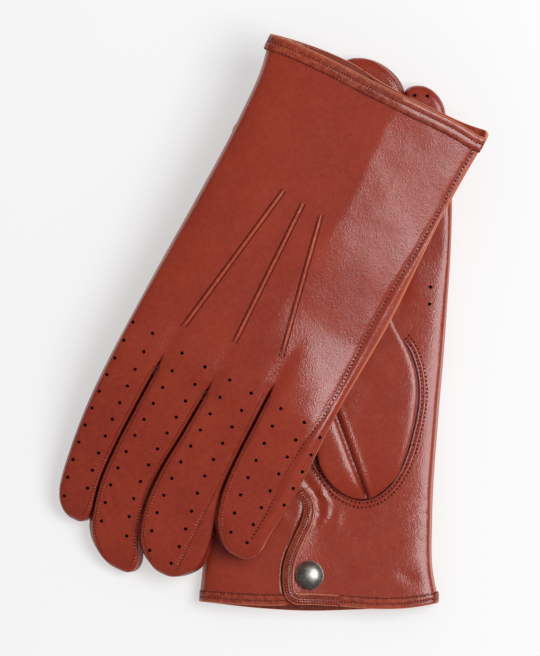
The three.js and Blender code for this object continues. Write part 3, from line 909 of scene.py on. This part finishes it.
# Thumb on the palm: its plan middle, half width and height along y.
THUMB = {
    "start": 46.4, "end": 150.0, "foot": 14, "tip": 15,
    "middle": curve((46, 17.6), (50, 16.8), (57, 16.8), (62, 16.6), (72, 17.5), (84, 19.2), (96, 20.4),
                    (105, 19.6), (113, 17.7), (123, 14.8), (135, 11.5), (141, 9.5), (150, 8)),
    "half": curve((46, 13), (50, 14), (57, 16.6), (62, 18.4), (72, 20.6), (84, 21.1), (96, 20.6), (105, 19.9),
                  (113, 18.6), (123, 16.2), (135, 14), (141, 12.8), (150, 11)),
    "height": curve((46, 1.6), (50, 3.4), (57, 5.0), (78, 7), (102, 7.6), (126, 7.2), (141, 6.2), (150, 4)),
}
THUMB_FOLD = ((4.6, 86.0), (20.4, 46.0))
THUMB_CREASE = {"depth": 2.6, "reach": 1.4, "rise": 2.95, "fall": 0.35}

# The oval seam that sets the thumb into the palm.
THUMB_SEAM = [(-4, 68), (-1.6, 61.9), (1.9, 56.9), (7.1, 50.8), (12.4, 47.6), (17.6, 46.4), (22.6, 47.6),
              (28.4, 51.6), (33.3, 58.3), (36.8, 66.5), (39.6, 78), (41.3, 88), (41.4, 96.1), (39.9, 104.8),
              (36.7, 112.8), (33.6, 117.1)]

SNAP = {"x": -4.8, "y": 12.7}
# Closed profiles of the snap's pieces: (radius, height above the flap's leather).
SNAP_PROFILES = {
    "snap_cap": [[0, 3.1], [1.3, 3.04], [2.6, 2.85], [3.7, 2.5], [4.6, 2.06], [5.3, 1.55], [5.85, 1.0],
                 [6.2, 0.62], [6.5, 0.5], [6.5, 0.34], [6.3, 0.24], [1.4, 0.24], [1.4, -1.8], [0, -1.8]],
    "snap_socket": [[1.8, -1.3], [5.2, -1.3], [5.4, -1.45], [5.4, -2.3], [4.6, -2.95], [2.9, -2.95],
                    [2.9, -2.1], [1.8, -1.95]],
    "snap_stud": [[0, -2.1], [1.7, -2.1], [1.95, -2.2], [2.2, -2.5], [1.9, -3.1], [5, -3.15], [5, -3.62],
                  [1.5, -3.62], [1.5, -2.6], [0, -2.6]],
    "snap_eyelet": [[0, -3], [1.1, -3], [1.1, -5.1], [4.1, -5.1], [4.2, -5.25], [4, -5.5], [0, -5.5]],
}


def row_places(start, end, step, extra=()):
    rows = np.arange(start, end + 1e-6, (end - start) / round((end - start) / step))
    return np.unique(np.round(np.concatenate([rows, np.array(extra, float)]), 4))


def build_hand(skin, field):
    y = row_places(0.3, SPLIT, 1.05, (SLIT_HEAD,))
    outer = hand_ring(skin, y)
    inner = hand_ring(skin, y, LEATHER)
    open_column = 2 * HAND_COLUMNS + 2 - 1 - SLIT_COLUMNS[1]
    keep = lambda r, c: ~((c == open_column) & (y[r] < SLIT_HEAD - 0.01))
    quads = grid(len(y), outer.shape[1], True, keep)
    world = skin.world(outer.reshape(-1, 3))
    field.add(world, quads)
    return shell(world, skin.world(inner.reshape(-1, 3)), quads)


def build_finger(skin, i, field):
    finger = FINGERS[i]
    start = skin.tips[i] - finger["round"]
    body = row_places(SPLIT, start, 1.05)[:-1]
    turn = np.linspace(0, math.pi / 2, 16)[:-1]
    y = np.concatenate([body, start + finger["round"] * np.sin(turn)])
    rings, tips = [], []
    for inset in (0.0, LEATHER):
        ring = finger_ring(skin, i, y, inset)
        tip_y = np.array([skin.tips[i] - inset])
        _, _, middle, _ = skin.edges(i, np.array([skin.tips[i] - 0.01]))
        rings.append(ring)
        tips.append(skin.place(i, middle, tip_y, np.zeros(1)))
    columns = rings[0].shape[1]
    quads = grid(len(y), columns)
    last = np.arange((len(y) - 1) * columns, len(y) * columns)
    quads = np.vstack([quads, fan(last, len(y) * columns)])
    outer = np.vstack([rings[0].reshape(-1, 3), tips[0]])
    inner = np.vstack([rings[1].reshape(-1, 3), tips[1]])
    world = skin.world(outer)
    top = COLUMNS + 1
    side_columns = list(range(2 * top + 1, columns)) + [columns - 1], list(range(top - 1, top + 2))
    shown = np.ones(len(quads), bool)
    column = quads[:, 0] % columns
    row = quads[:, 0] // columns
    for end, crotch in enumerate(finger["crotch"]):
        if crotch:
            low = y[np.minimum(row, len(y) - 1)] < crotch - 3
            shown &= ~(low & np.isin(column, side_columns[end]))
    field.add(world, quads[shown])
    return shell(world, skin.world(inner), quads)


def hole_places(skin, table, level, i):
    """Centres and normals of a finger's perforations."""
    centres, normals = [], []
    for name, first, last, start, count in table:
        if name != FINGERS[i]["name"]:
            continue
        y = start + HOLE["pitch"] * np.arange(count)
        share = np.linspace(first, last, count)
        _, _, middle, half = skin.edges(i, y)
        points, n = skin.on(middle + share * half, y, level, 0.0, i)
        centres += list(skin.world(points))
        normals += list(n @ skin.axes)
    return centres, normals


NOTHING = (np.zeros((0, 3)), [])
# Profile of a thin dark strip laid along a stitch row: painted shade in its groove.
GROOVE_SHADE_STRIP = [(-0.26, -0.2), (-0.2, 0.04), (0, 0.0), (0.2, 0.04), (0.26, -0.2)]


def row_of(points, normals, pitch, width=0.5, puckered=False, channel=False):
    """A stitch row as (stitches, the leather that puckers between them in a lighter colour that is a painted
    highlight, a dark strip of painted shade in the groove they are pulled into).
    """
    stitch = beads(points, normals, pitch, width, share=0.55)
    pucker = groove = NOTHING
    if puckered:
        pucker = beads(points[1:-1], normals[1:-1], pitch, width * 0.9, share=0.4, phase=0.5)
    if channel:
        groove = ribbon(*resample(points, normals, 0.7), GROOVE_SHADE_STRIP)
    return stitch, pucker, groove


def swept(skin, x, y, level, profile, taper):
    return ribbon(*skin.on(x, y, level), profile, taper)


def stitches(skin, x, y, level, pitch, lift=0.0, strip=None, **look):
    points, normals = skin.on(x, y, level, lift, strip)
    return row_of(points, normals, pitch, **look)


def palm_lift(x, y):
    """How far the flap stands off the palm's surface: more towards its free edge."""
    width = flap_root(y) - SLIT_EDGE(y)
    share = np.clip((flap_root(y) - x) / np.maximum(width, 1), 0, 1.2)
    return FLAP_LIFT * share**2 * smooth(SLIT_HEAD - y, -1, 14)


def build_flap(skin, field):
    """The flap's leather: a closed sheet from the slit to the fold line, lifted off the palm."""
    rows, columns = 60, 34
    low, high = 0.3, SLIT_HEAD - 0.2
    y = low + (high - low) * np.linspace(0, 1, rows)
    edge, root = SLIT_EDGE(y) + 0.3, flap_root(y)
    x = edge[:, None] + (root - edge)[:, None] * np.linspace(0, 1, columns)
    y = y[:, None] + 0 * x
    up = palm_lift(x, y)[..., None]
    points, normals = skin.on(x, y, -1)
    quads = grid(rows, columns, False)
    world = skin.world((points + normals * up).reshape(-1, 3))
    field.add(world, quads[:, ::-1])
    return shell(world, skin.world((points + normals * (up - LEATHER)).reshape(-1, 3)), quads)


def flap_path():
    """The flap's free edge in plan, from the fold line along the wrist and up the slit."""
    wrist_x = np.linspace(fold_at(0) - 0.2, -7.5, 14)
    slit_y = np.concatenate([np.linspace(2.6, 7, 6), np.linspace(8, SLIT_HEAD - 0.4, 52)])
    x = np.concatenate([wrist_x, [-9.6, -11.2, -12.5], SLIT_EDGE(slit_y)])
    y = np.concatenate([0 * wrist_x + 0.1, [0.35, 0.95, 1.75], slit_y])
    return x, y


def offset_path(x, y, off):
    """A plan path moved to its left by off millimetres."""
    dx, dy = np.gradient(x), np.gradient(y)
    size = np.hypot(dx, dy)
    return x - dy / size * off, y + dx / size * off


def build_thumb(skin):
    """The thumb's closed body, and the painted shade of its crease and its edge."""
    t = np.linspace(0, 1, 104)
    y = THUMB["start"] + 0.15 + (THUMB["end"] - THUMB["start"] - 0.3) * (t - 0.06 * np.sin(2 * np.pi * t))
    u = np.sin(np.linspace(-1, 1, 61) * np.pi / 2)[None, :]
    foot = np.clip((y - THUMB["start"]) / THUMB["foot"], 0, 1)
    tip = np.clip((THUMB["end"] - y) / THUMB["tip"], 0, 1)
    round_off = np.sqrt(1 - (1 - foot) ** 2) * np.sqrt(1 - (1 - tip) ** 2)
    half = (THUMB["half"](y) * round_off)[:, None]
    x = THUMB["middle"](y)[:, None] + half * u
    yy = y[:, None] + 0 * x
    rise = THUMB["height"](yy) * (round_off[:, None] ** 0.3)
    form = (1 - np.abs(u) ** 14) ** (1 / 14)
    high = 0.35 + rise * form
    (x0, y0), (x1, y1) = THUMB_FOLD
    length = math.hypot(x1 - x0, y1 - y0)
    across = ((x - x0) * (y1 - y0) - (yy - y0) * (x1 - x0)) / -length
    along = ((x - x0) * (x1 - x0) + (yy - y0) * (y1 - y0)) / length**2
    weight = (1 - smooth(along, 1.0, 1.1)) * smooth(along, -0.25, 0.1) * np.clip(form * 2.4, 0, 1)
    depth = THUMB_CREASE["depth"]
    wall = THUMB_CREASE["rise"] * smooth(across, 0, 1.5) - THUMB_CREASE["fall"] * smooth(across, 1.6, 4.2)
    wall = np.where(across < 0, -depth * np.exp(across / THUMB_CREASE["reach"]), wall - depth)
    high += wall * weight * np.clip(rise / depth, 0, 1)
    high += (0.14 * noise(x, yy, 13, skin.seed + 20) + 0.06 * noise(x, yy, 5, skin.seed + 21)) * form
    high = np.maximum(high, 0.3)
    palm, _ = skin.on(x, yy, -1)
    out = np.array([0, 0, -1.0])
    outer = palm + out * high[..., None]
    under = palm + out * 0.12
    rows = len(x)
    ring = np.concatenate([outer, under[:, ::-1][:, 1:-1]], 1)
    # Painted shade in the crease and along the thumb's edge.
    dark = bell(across, 0.9) * weight
    seam = np.concatenate([np.maximum(dark, 1.0 * (np.abs(u) > 0.985)), 0 * dark[:, 1:-1]], 1)
    return (ring.reshape(-1, 3), tube(rows, ring.shape[1])), seam.reshape(-1)


def smooth_path(points, count):
    """A smooth plan path through points."""
    pts = np.array(points, float)
    size = np.concatenate([[0], np.cumsum(np.hypot(*np.diff(pts, axis=0).T))])
    t = np.linspace(0, size[-1], count)
    return curve(*zip(size, pts[:, 0]))(t), curve(*zip(size, pts[:, 1]))(t)


def lathe(skin, profile, lift, sides=48):
    """A body of revolution on the palm at the snap."""
    (centre,), _ = skin.on([SNAP["x"]], [SNAP["y"]], -1)
    outline = np.array(profile, float)
    axis = np.array([0, 0, -1.0])
    turn = np.linspace(0, 2 * np.pi, sides, endpoint=False)
    around = np.stack([np.cos(turn), np.sin(turn), 0 * turn], 1)
    points, rows = [], []
    for r, h in outline:
        base = len(points)
        if r < 1e-6:
            points.append(centre + axis * (h + lift))
            rows.append([base] * sides)
        else:
            points += list(centre + around * r + axis * (h + lift))
            rows.append([base + k for k in range(sides)])
    faces = []
    for a, b in zip(rows, rows[1:] + rows[:1]):
        for k in range(sides):
            nxt = (k + 1) % sides
            face = tuple(dict.fromkeys((a[k], a[nxt], b[nxt], b[k])))
            if len(face) > 2:
                faces.append(face)
    return np.array(points), faces


def soften(obj, degrees=32):
    """Smooth shading with edges kept where faces meet at more than the angle."""
    mesh = obj.data
    mesh.polygons.foreach_set("use_smooth", np.ones(len(mesh.polygons), bool))
    mesh.set_sharp_from_angle(angle=math.radians(degrees))


RIDGE = [(-0.95, -0.3), (-0.8, 0.05), (-0.55, 0.55), (-0.25, 0.9), (0.05, 1.0), (0.35, 0.85), (0.6, 0.5),
         (0.8, 0.05), (0.95, -0.3)]
WELT = [(-0.9, -0.3), (-0.6, 0.12), (0, 0.22), (0.6, 0.12), (0.9, -0.3)]
# Profile of a thin dark strip along the thumb's seam: painted shade where the thumb's leather meets the palm.
THUMB_SHADE_LINE = [(-0.5, -0.3), (-0.4, 0.1), (0, 0.2), (0.4, 0.1), (0.5, -0.3)]


class Glove:
    """One glove: its skin, and how its pieces follow its bodies."""

    def __init__(self, side):
        self.side = side
        self.skin = Skin(side)
        self.field = Normals(self.skin.on_its_back)
        hinge = np.array([fold_at(FLAP_HINGE[1]), FLAP_HINGE[1]])
        away = np.array([-FOLD_LINE[1], FOLD_LINE[0]])
        # Where each body's leather starts and ends its turn away from the hand.
        self.bends = {"thumb": ((20, 52, -8), (20, 96, -8)),
                      "flap": ((*(hinge + away * 0.1), -7), (*(hinge + away * 3.6), -7))}
        for i, finger in enumerate(FINGERS):
            start = max(c for c in finger["crotch"] if c) + 0.3
            middle = (LINES[i](start) + LINES[i + 1](start)) / 2
            self.bends[finger["name"]] = (middle, start, 0), (middle, start + 19, 0)

    def make(self, name, points, faces, materials, kinds=None):
        return make(f"{self.side}_{name}", self.skin.world(points), faces, materials, kinds)

    def sew(self, name, rows):
        """One object of stitch rows."""
        points, faces = joined([part for row in rows for part in row if len(part[1])])
        kinds = [kind for row in rows for kind, part in enumerate(row) for _ in part[1]]
        return self.make(name, points, faces, [THREAD, LEATHER_PUCKER_HIGHLIGHT, LEATHER_SEAM_SHADE], kinds)

    def fit(self, obj, slot, *nodes):
        """Hides the CAD nodes that a piece stands for."""
        if nodes:
            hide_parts(*[f"{self.side}_{node}" for node in nodes])

    def ride(self, obj, body, slot, *nodes):
        self.fit(obj, slot, *nodes)
        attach(obj, f"{self.side}_{body}")

    def bend(self, obj, body, slot, *nodes):
        self.fit(obj, slot, *nodes)
        start, end = (tuple(self.skin.world(np.array([p], float))[0]) for p in self.bends[body])
        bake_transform(obj)


def build_skins(glove):
    """The leather of the hand, the fingers and the flap."""
    skin, side = glove.skin, glove.side
    hand = build_hand(skin, glove.field)
    fingers = [build_finger(skin, i, glove.field) for i in range(4)]
    flap = build_flap(skin, glove.field)
    glove.field.finish()
    obj = make(f"{side}_hand_skin", hand[0], hand[1], SKIN_MATERIALS, hand[2])
    hole, facing = skin.on([KNUCKLE_HOLE[0]], [KNUCKLE_HOLE[1]], -1)
    punch(obj, skin.world(hole), facing @ skin.axes)
    glove.field.give(obj)
    shade_skin(skin, obj, 1)
    glove.ride(obj, "hand", "main_leather", "hand_leather")
    for i, (points, faces, kinds) in enumerate(fingers):
        name = FINGERS[i]["name"]
        obj = make(f"{side}_{name}_skin", points, faces, SKIN_MATERIALS, kinds)
        back, palm = hole_places(skin, BACK_HOLES, 1, i), hole_places(skin, PALM_HOLES, -1, i)
        punch(obj, back[0] + palm[0], back[1] + palm[1])
        glove.field.give(obj)
        shade_skin(skin, obj, i)
        nodes = [node[len(side) + 1:] for node in frame["nodes"]
                 if node.startswith(f"{side}_{name}_") and "thread" not in node]
        glove.bend(obj, name, "main_leather", *nodes)
        glove.bend(glove.sew(f"{name}_stitches", finger_rows(skin, i)), name, "thread")
    obj = make(f"{side}_flap_leather", flap[0], flap[1], SKIN_MATERIALS, flap[2])
    glove.field.give(obj)
    glove.bend(obj, "flap", "main_leather", "snap_flap")


def finger_rows(skin, i):
    """The stitches beside a finger's fourchettes, and the wrinkles near the upper glove's fingertips."""
    rows = []
    tip = skin.tips[i]
    for end, crotch in enumerate(FINGERS[i]["crotch"]):
        if not crotch:
            continue
        straight = FINGERS[i]["name"] == "ring" and end == 0
        y = np.linspace(crotch + 2.5, tip - 4, 90)
        inward = 0.7 + 0.9 * smooth(y, crotch, crotch + 7) + 1.2 * smooth(y, tip - 16, tip - 4)
        x = beside_edge(skin, i, end, y, inward)
        if straight:
            x = np.maximum(x, RING_SEAM)
        rows += [stitches(skin, x, y, level, 1.15, 0.02, i, puckered=straight) for level in (1, -1)]
        if not skin.on_its_back:
            y = np.linspace(tip - 34, tip - 7, 60)
            x = beside_edge(skin, i, end, y, 1.6)
            if straight:
                x = np.maximum(x, RING_SEAM) + 1.4
            wrinkles = beads(*skin.on(x, y, 1, -0.05, i), 1.5, 0.45, 0.22, turned=2.2)
            rows.append((NOTHING, wrinkles, NOTHING))
    return rows


def beside_edge(skin, i, end, y, inward):
    left, right, _, _ = skin.edges(i, y)
    return right - inward if end else left + inward


def build_back(glove):
    """The three raised points on the upper glove's back, and its side seam."""
    skin = glove.skin
    for name, ((x0, y0), (x1, y1)) in zip(("index", "middle", "ring"), POINTS):
        t = np.linspace(0, 1, 70)
        x, y = x0 + (x1 - x0) * t, y0 + (y1 - y0) * t
        obj = glove.make(f"point_{name}", *swept(skin, x, y, 1, RIDGE, 5), [LEATHER_RIDGE_HIGHLIGHT])
        soften(obj, 60)
        glove.ride(obj, "hand", "main_leather")
        rows = [stitches(skin, *offset_path(x, y, off), 1, 1.15, channel=True) for off in (-1.1, 1.1)]
        glove.ride(glove.sew(f"point_{name}_stitches", rows), "hand", "thread", f"point_thread_{name}")
    seams = [np.linspace(6.5, 135, 120), np.linspace(135.5, 204, 60)]
    on_hand, on_pinky = ([stitches(skin, SIDE_SEAM(y), y, 1, 1.75, 0.16, 0, width=0.85)] for y in seams)
    glove.ride(glove.sew("side_seam_stitches", on_hand), "hand", "thread", "side_seam_thread")
    glove.bend(glove.sew("pinky_side_stitches", on_pinky), "pinky", "thread")


def build_flap_edge(glove):
    """The binding along the flap's free edge, with its three rows of stitches."""
    skin = glove.skin
    x, y = flap_path()
    base, normals = skin.on(x, np.maximum(y, 0.4), -1)
    lift = (palm_lift(x, y) + 0.1)[:, None]
    obj = bound_edge(glove, "flap_binding", base + normals * lift, normals, BINDING)
    soften(obj, 60)
    glove.bend(obj, "flap", "edge_leather", "flap_edge")
    rows = []
    for off, up in ((0.8, 0.56), (1.75, 0.62), (2.7, 0.58)):
        px, py = offset_path(x, y, -off)
        points, normals = skin.on(px, np.maximum(py, 0.4), -1)
        rows.append(row_of(points + normals * (lift + up), normals, 1.2, 0.6, True))
    glove.bend(glove.sew("flap_stitches", rows), "flap", "thread")


def build_snap(glove):
    """The press fastener: cap and socket on the flap, stud and eyelet on the hand."""
    lift = float(palm_lift(np.array([SNAP["x"]]), np.array([SNAP["y"]]))[0])
    for name, profile in SNAP_PROFILES.items():
        on_flap, seen = name in ("snap_cap", "snap_socket"), name == "snap_cap"
        made = lathe(glove.skin, profile, lift if on_flap else 0.0)
        obj = glove.make(f"{name}_turned", *made, [CAP_METAL if seen else INNER_METAL])
        soften(obj, 40)
        slot = "snap_cap_metal" if seen else "snap_inner_metal"
        glove.ride(obj, "flap" if on_flap else "hand", slot, name)


def build_thumb_pieces(glove):
    """The thumb, and the seam that sets it in: two rows of stitches, and welts beside them."""
    skin = glove.skin
    made, seam = build_thumb(skin)
    obj = glove.make("thumb_skin", *made, [LEATHER_OUT])
    # The seam attribute carries the painted shade of the crease and the edge.
    paint(obj, "seam", seam)
    glove.bend(obj, "thumb", "main_leather", "thumb_leather")
    x, y = smooth_path(THUMB_SEAM, 130)
    look = {"width": 0.95, "puckered": True}
    rows = [stitches(skin, *offset_path(x, y, -off), -1, 1.8, 0.06, **look) for off in (1.6, 3.6)]
    # A dark strip just inside the seam: painted shade at the thumb's edge.
    rows.append((NOTHING, NOTHING, ribbon(*skin.on(*offset_path(x, y, -0.3), -1, 0.1), THUMB_SHADE_LINE)))
    glove.ride(glove.sew("thumb_stitches", rows), "hand", "thread", "thumb_seam_thread")
    welts = [swept(skin, *offset_path(x, y, -off), -1, WELT, 4) for off in (0.7, 2.6)]
    glove.ride(glove.make("thumb_welts", *joined(welts), [LEATHER_OUT]), "hand", "main_leather")


def shade_skin(skin, obj, i):
    """Painted shade beside seams, between the fingers and in the slit's gap; folded sides rubbed lighter,
    with a painted highlight.
    """
    count = len(obj.data.vertices)
    places = np.zeros(count * 3, np.float32)
    obj.data.vertices.foreach_get("co", places)
    local = (places.reshape(-1, 3).astype(float) * 1000 - skin.origin) @ np.linalg.inv(skin.axes)
    x, y, z = local.T
    seam = np.zeros(count)
    # Painted shade in the valleys between the fingers.
    for line, crotch in zip(LINES[1:4], CROTCHES[1:4]):
        seam = np.maximum(seam, bell(x - line(y), 0.75) * smooth(y, crotch - 4, crotch))
    if not skin.on_its_back:
        # Painted shade along the side seam's groove.
        side = bell(x - SIDE_SEAM(y), 0.8) * (z > 0)
        seam = np.maximum(seam, 0.4 * side * (1 - smooth(y, 200, 206)))
    if i == 1:
        # Painted shadow in the gap beside the flap's free edge.
        off = x - SLIT_EDGE(np.clip(y, 0, SLIT_HEAD)) + 0.4
        seam = np.maximum(seam, bell(off, 1.0) * (z < 0) * (y < SLIT_HEAD))
    paint(obj, "seam", seam)
    # Folded sides rubbed lighter: wear, and a painted highlight.
    left, right = PINKY_SIDE(y), INDEX_SIDE(y)
    beside = np.maximum(smooth(left - x, -0.9, 0.2), smooth(x - right, -0.9, 0.2))
    paint(obj, "rub_and_highlight", beside * bell(z, 1.3) * (y < 215))


# The outline of a bound edge: (inwards from the edge, out of the leather). It turns over the edge at its
# first points, where cut leather shows. The "bright" points are rubbed lighter, also as a painted highlight,
# and the "dark" ones lie in a groove and carry painted shade.
BINDING_CUT = (1, 2, 3)
BINDING = {
    "outline": [(0.2, -0.95), (-0.15, -0.9), (-0.35, -0.5), (-0.36, -0.05), (-0.2, 0.3), (0.2, 0.5),
                (1.0, 0.55), (2.0, 0.6), (3.0, 0.5), (3.35, 0.1), (3.65, 0.1), (3.95, 0.6), (4.3, 0.75),
                (4.65, 0.6), (4.95, 0.02), (4.9, -0.4)],
    "bright": [4, 11, 12, 13],
    "dark": [9, 10],
}
HEM_ROWS = {"left": (2.9, 6.4), "right": (1.8, 4.4)}  # the two stitch rows of each wrist hem


def hem(first, second):
    """A turned wrist hem: it stands out between its stitch rows and is pulled in along them."""
    over = [(first * 0.35, 0.46), (first - 0.5, 0.42), (first, 0.16), (first + 0.5, 0.4)]
    under = [((first + second) / 2, 0.46), (second - 0.6, 0.36), (second, 0.1), (second + 0.45, 0.04),
             (second + 0.5, -0.4)]
    # The bright points are rubbed lighter with a painted highlight; the dark ones carry painted shade in the
    # stitch grooves.
    return {"outline": BINDING["outline"][:5] + over + under, "bright": [3, 4], "dark": [7, 11]}


def bound_edge(glove, name, points, normals, edge, sides=None):
    """A binding swept along an edge whose inward side is on the left of the path, seen from outside."""
    outline = [(-inward, out) for inward, out in edge["outline"]]
    made, faces = ribbon(points, normals, outline, 0.0, sides)
    size = len(outline)
    on_tube = (len(points) - 1) * size
    kinds = [2 if k < on_tube and k % size in BINDING_CUT else 0 for k in range(len(faces))]
    obj = glove.make(name, made, faces, HEM_MATERIALS, kinds)
    # The rubbed lighter colour with a painted highlight on the bright points, and painted shade on the dark
    # ones.
    for attribute, where, value in (("rub_and_highlight", "bright", 0.45), ("seam", "dark", 1)):
        shade = np.zeros((len(points), size))
        shade[:, edge[where]] = value
        paint(obj, attribute, shade.reshape(-1))
    return obj


def wrist_path(skin):
    """The wrist edge from the slit's pinky side round the pinky, the back and the index side to the flap."""
    y = 0.45
    ring = hand_ring(skin, np.array([y]))[0]
    back, palm = ring[:HAND_COLUMNS], ring[HAND_COLUMNS + 2:2 * HAND_COLUMNS + 2][::-1]
    right, left = ring[HAND_COLUMNS:HAND_COLUMNS + 2], ring[2 * HAND_COLUMNS + 2:]
    before_slit = palm[:SLIT_COLUMNS[0] + 1]
    before_slit = before_slit[before_slit[:, 0] < SLIT_EDGE(y) - 3]
    loop = np.concatenate([palm[SLIT_COLUMNS[1] + 1:], right[::-1], back[::-1], left[::-1], before_slit])
    if skin.on_its_back:
        loop[:, 2] = np.minimum(loop[:, 2], BACK_FLAT - 0.6)
    tangent = np.gradient(loop, axis=0)
    normal = np.stack([tangent[:, 2], 0 * tangent[:, 0], -tangent[:, 0]], 1)
    normal = unit(normal)
    for _ in range(2):
        normal[1:-1] = (normal[:-2] + 2 * normal[1:-1] + normal[2:]) / 4
    normal = unit(normal)
    loop = loop - 0.5 * normal * np.abs(normal[:, :1])
    return loop[::-1], normal[::-1]


def build_cuff(glove):
    """The turned hem round the wrist with its two rows of stitches."""
    points, normals = wrist_path(glove.skin)
    first, second = HEM_ROWS[glove.side]
    inwards = np.array([0, 1.0, 0])
    obj = bound_edge(glove, "cuff", points, normals, hem(first, second), 0 * points - inwards)
    soften(obj, 60)
    glove.ride(obj, "hand", "edge_leather", "cuff_hem")
    rows = [row_of(points + normals * 0.2 + inwards * first, normals, 1.4, 0.75, True),
            row_of(points + normals * 0.12 + inwards * second, normals, 1.65, 0.6)]
    glove.ride(glove.sew("cuff_stitches", rows), "hand", "thread")


for glove_side in ("right", "left"):
    glove = Glove(glove_side)
    build_skins(glove)
    if not glove.skin.on_its_back:
        build_back(glove)
    build_cuff(glove)
    build_flap_edge(glove)
    build_snap(glove)
    build_thumb_pieces(glove)

# ---------------------------------------------------------------------------------------------------------
# Stage
# ---------------------------------------------------------------------------------------------------------

scene = bpy.context.scene
scene.view_settings.view_transform = "Standard"

mesh = bpy.data.meshes.new("floor")
mesh.from_pydata([(-3, -3, -0.0004), (3, -3, -0.0004), (3, 3, -0.0004), (-3, 3, -0.0004)], [], [(0, 1, 2, 3)])
mesh.materials.append(pale_floor())
floor = bpy.data.objects.new("floor", mesh)
scene.collection.objects.link(floor)

world = bpy.data.worlds.new("studio")
world.use_nodes = True
nodes = world.node_tree.nodes
sky = nodes["Background"]
sky.inputs["Color"].default_value = (1, 1, 1, 1)
# Surroundings that reflections see are darker than the light they give, as in a studio with black flags.
ray = nodes.new("ShaderNodeLightPath")
strength = nodes.new("ShaderNodeMapRange")
strength.inputs["To Min"].default_value = 0.44
strength.inputs["To Max"].default_value = 0.08
world.node_tree.links.new(ray.outputs["Is Glossy Ray"], strength.inputs["Value"])
world.node_tree.links.new(strength.outputs["Result"], sky.inputs["Strength"])
scene.world = world

# A soft box, straight above a place right of the gloves.
key = bpy.data.lights.new("key", "AREA")
key.shape = "RECTANGLE"
key.size = 0.98
key.size_y = 0.95
key.energy = 23
lamp = bpy.data.objects.new("key", key)
lamp.location = (0.84, 0.12, 1.4)
scene.collection.objects.link(lamp)

# Straight above, far away; "seen" is the height of the picture in metres at "level".
CAMERA = {"x": -0.00198, "y": -0.0038, "height": 6.0, "level": 0.02, "seen": 0.2886}
lens = bpy.data.cameras.new("camera")
lens.sensor_fit = "VERTICAL"
lens.angle = 2 * math.atan(CAMERA["seen"] / 2 / (CAMERA["height"] - CAMERA["level"]))
lens.clip_start = 0.05
camera = bpy.data.objects.new("camera", lens)
camera.location = (CAMERA["x"], CAMERA["y"], CAMERA["height"])
scene.collection.objects.link(camera)
scene.camera = camera
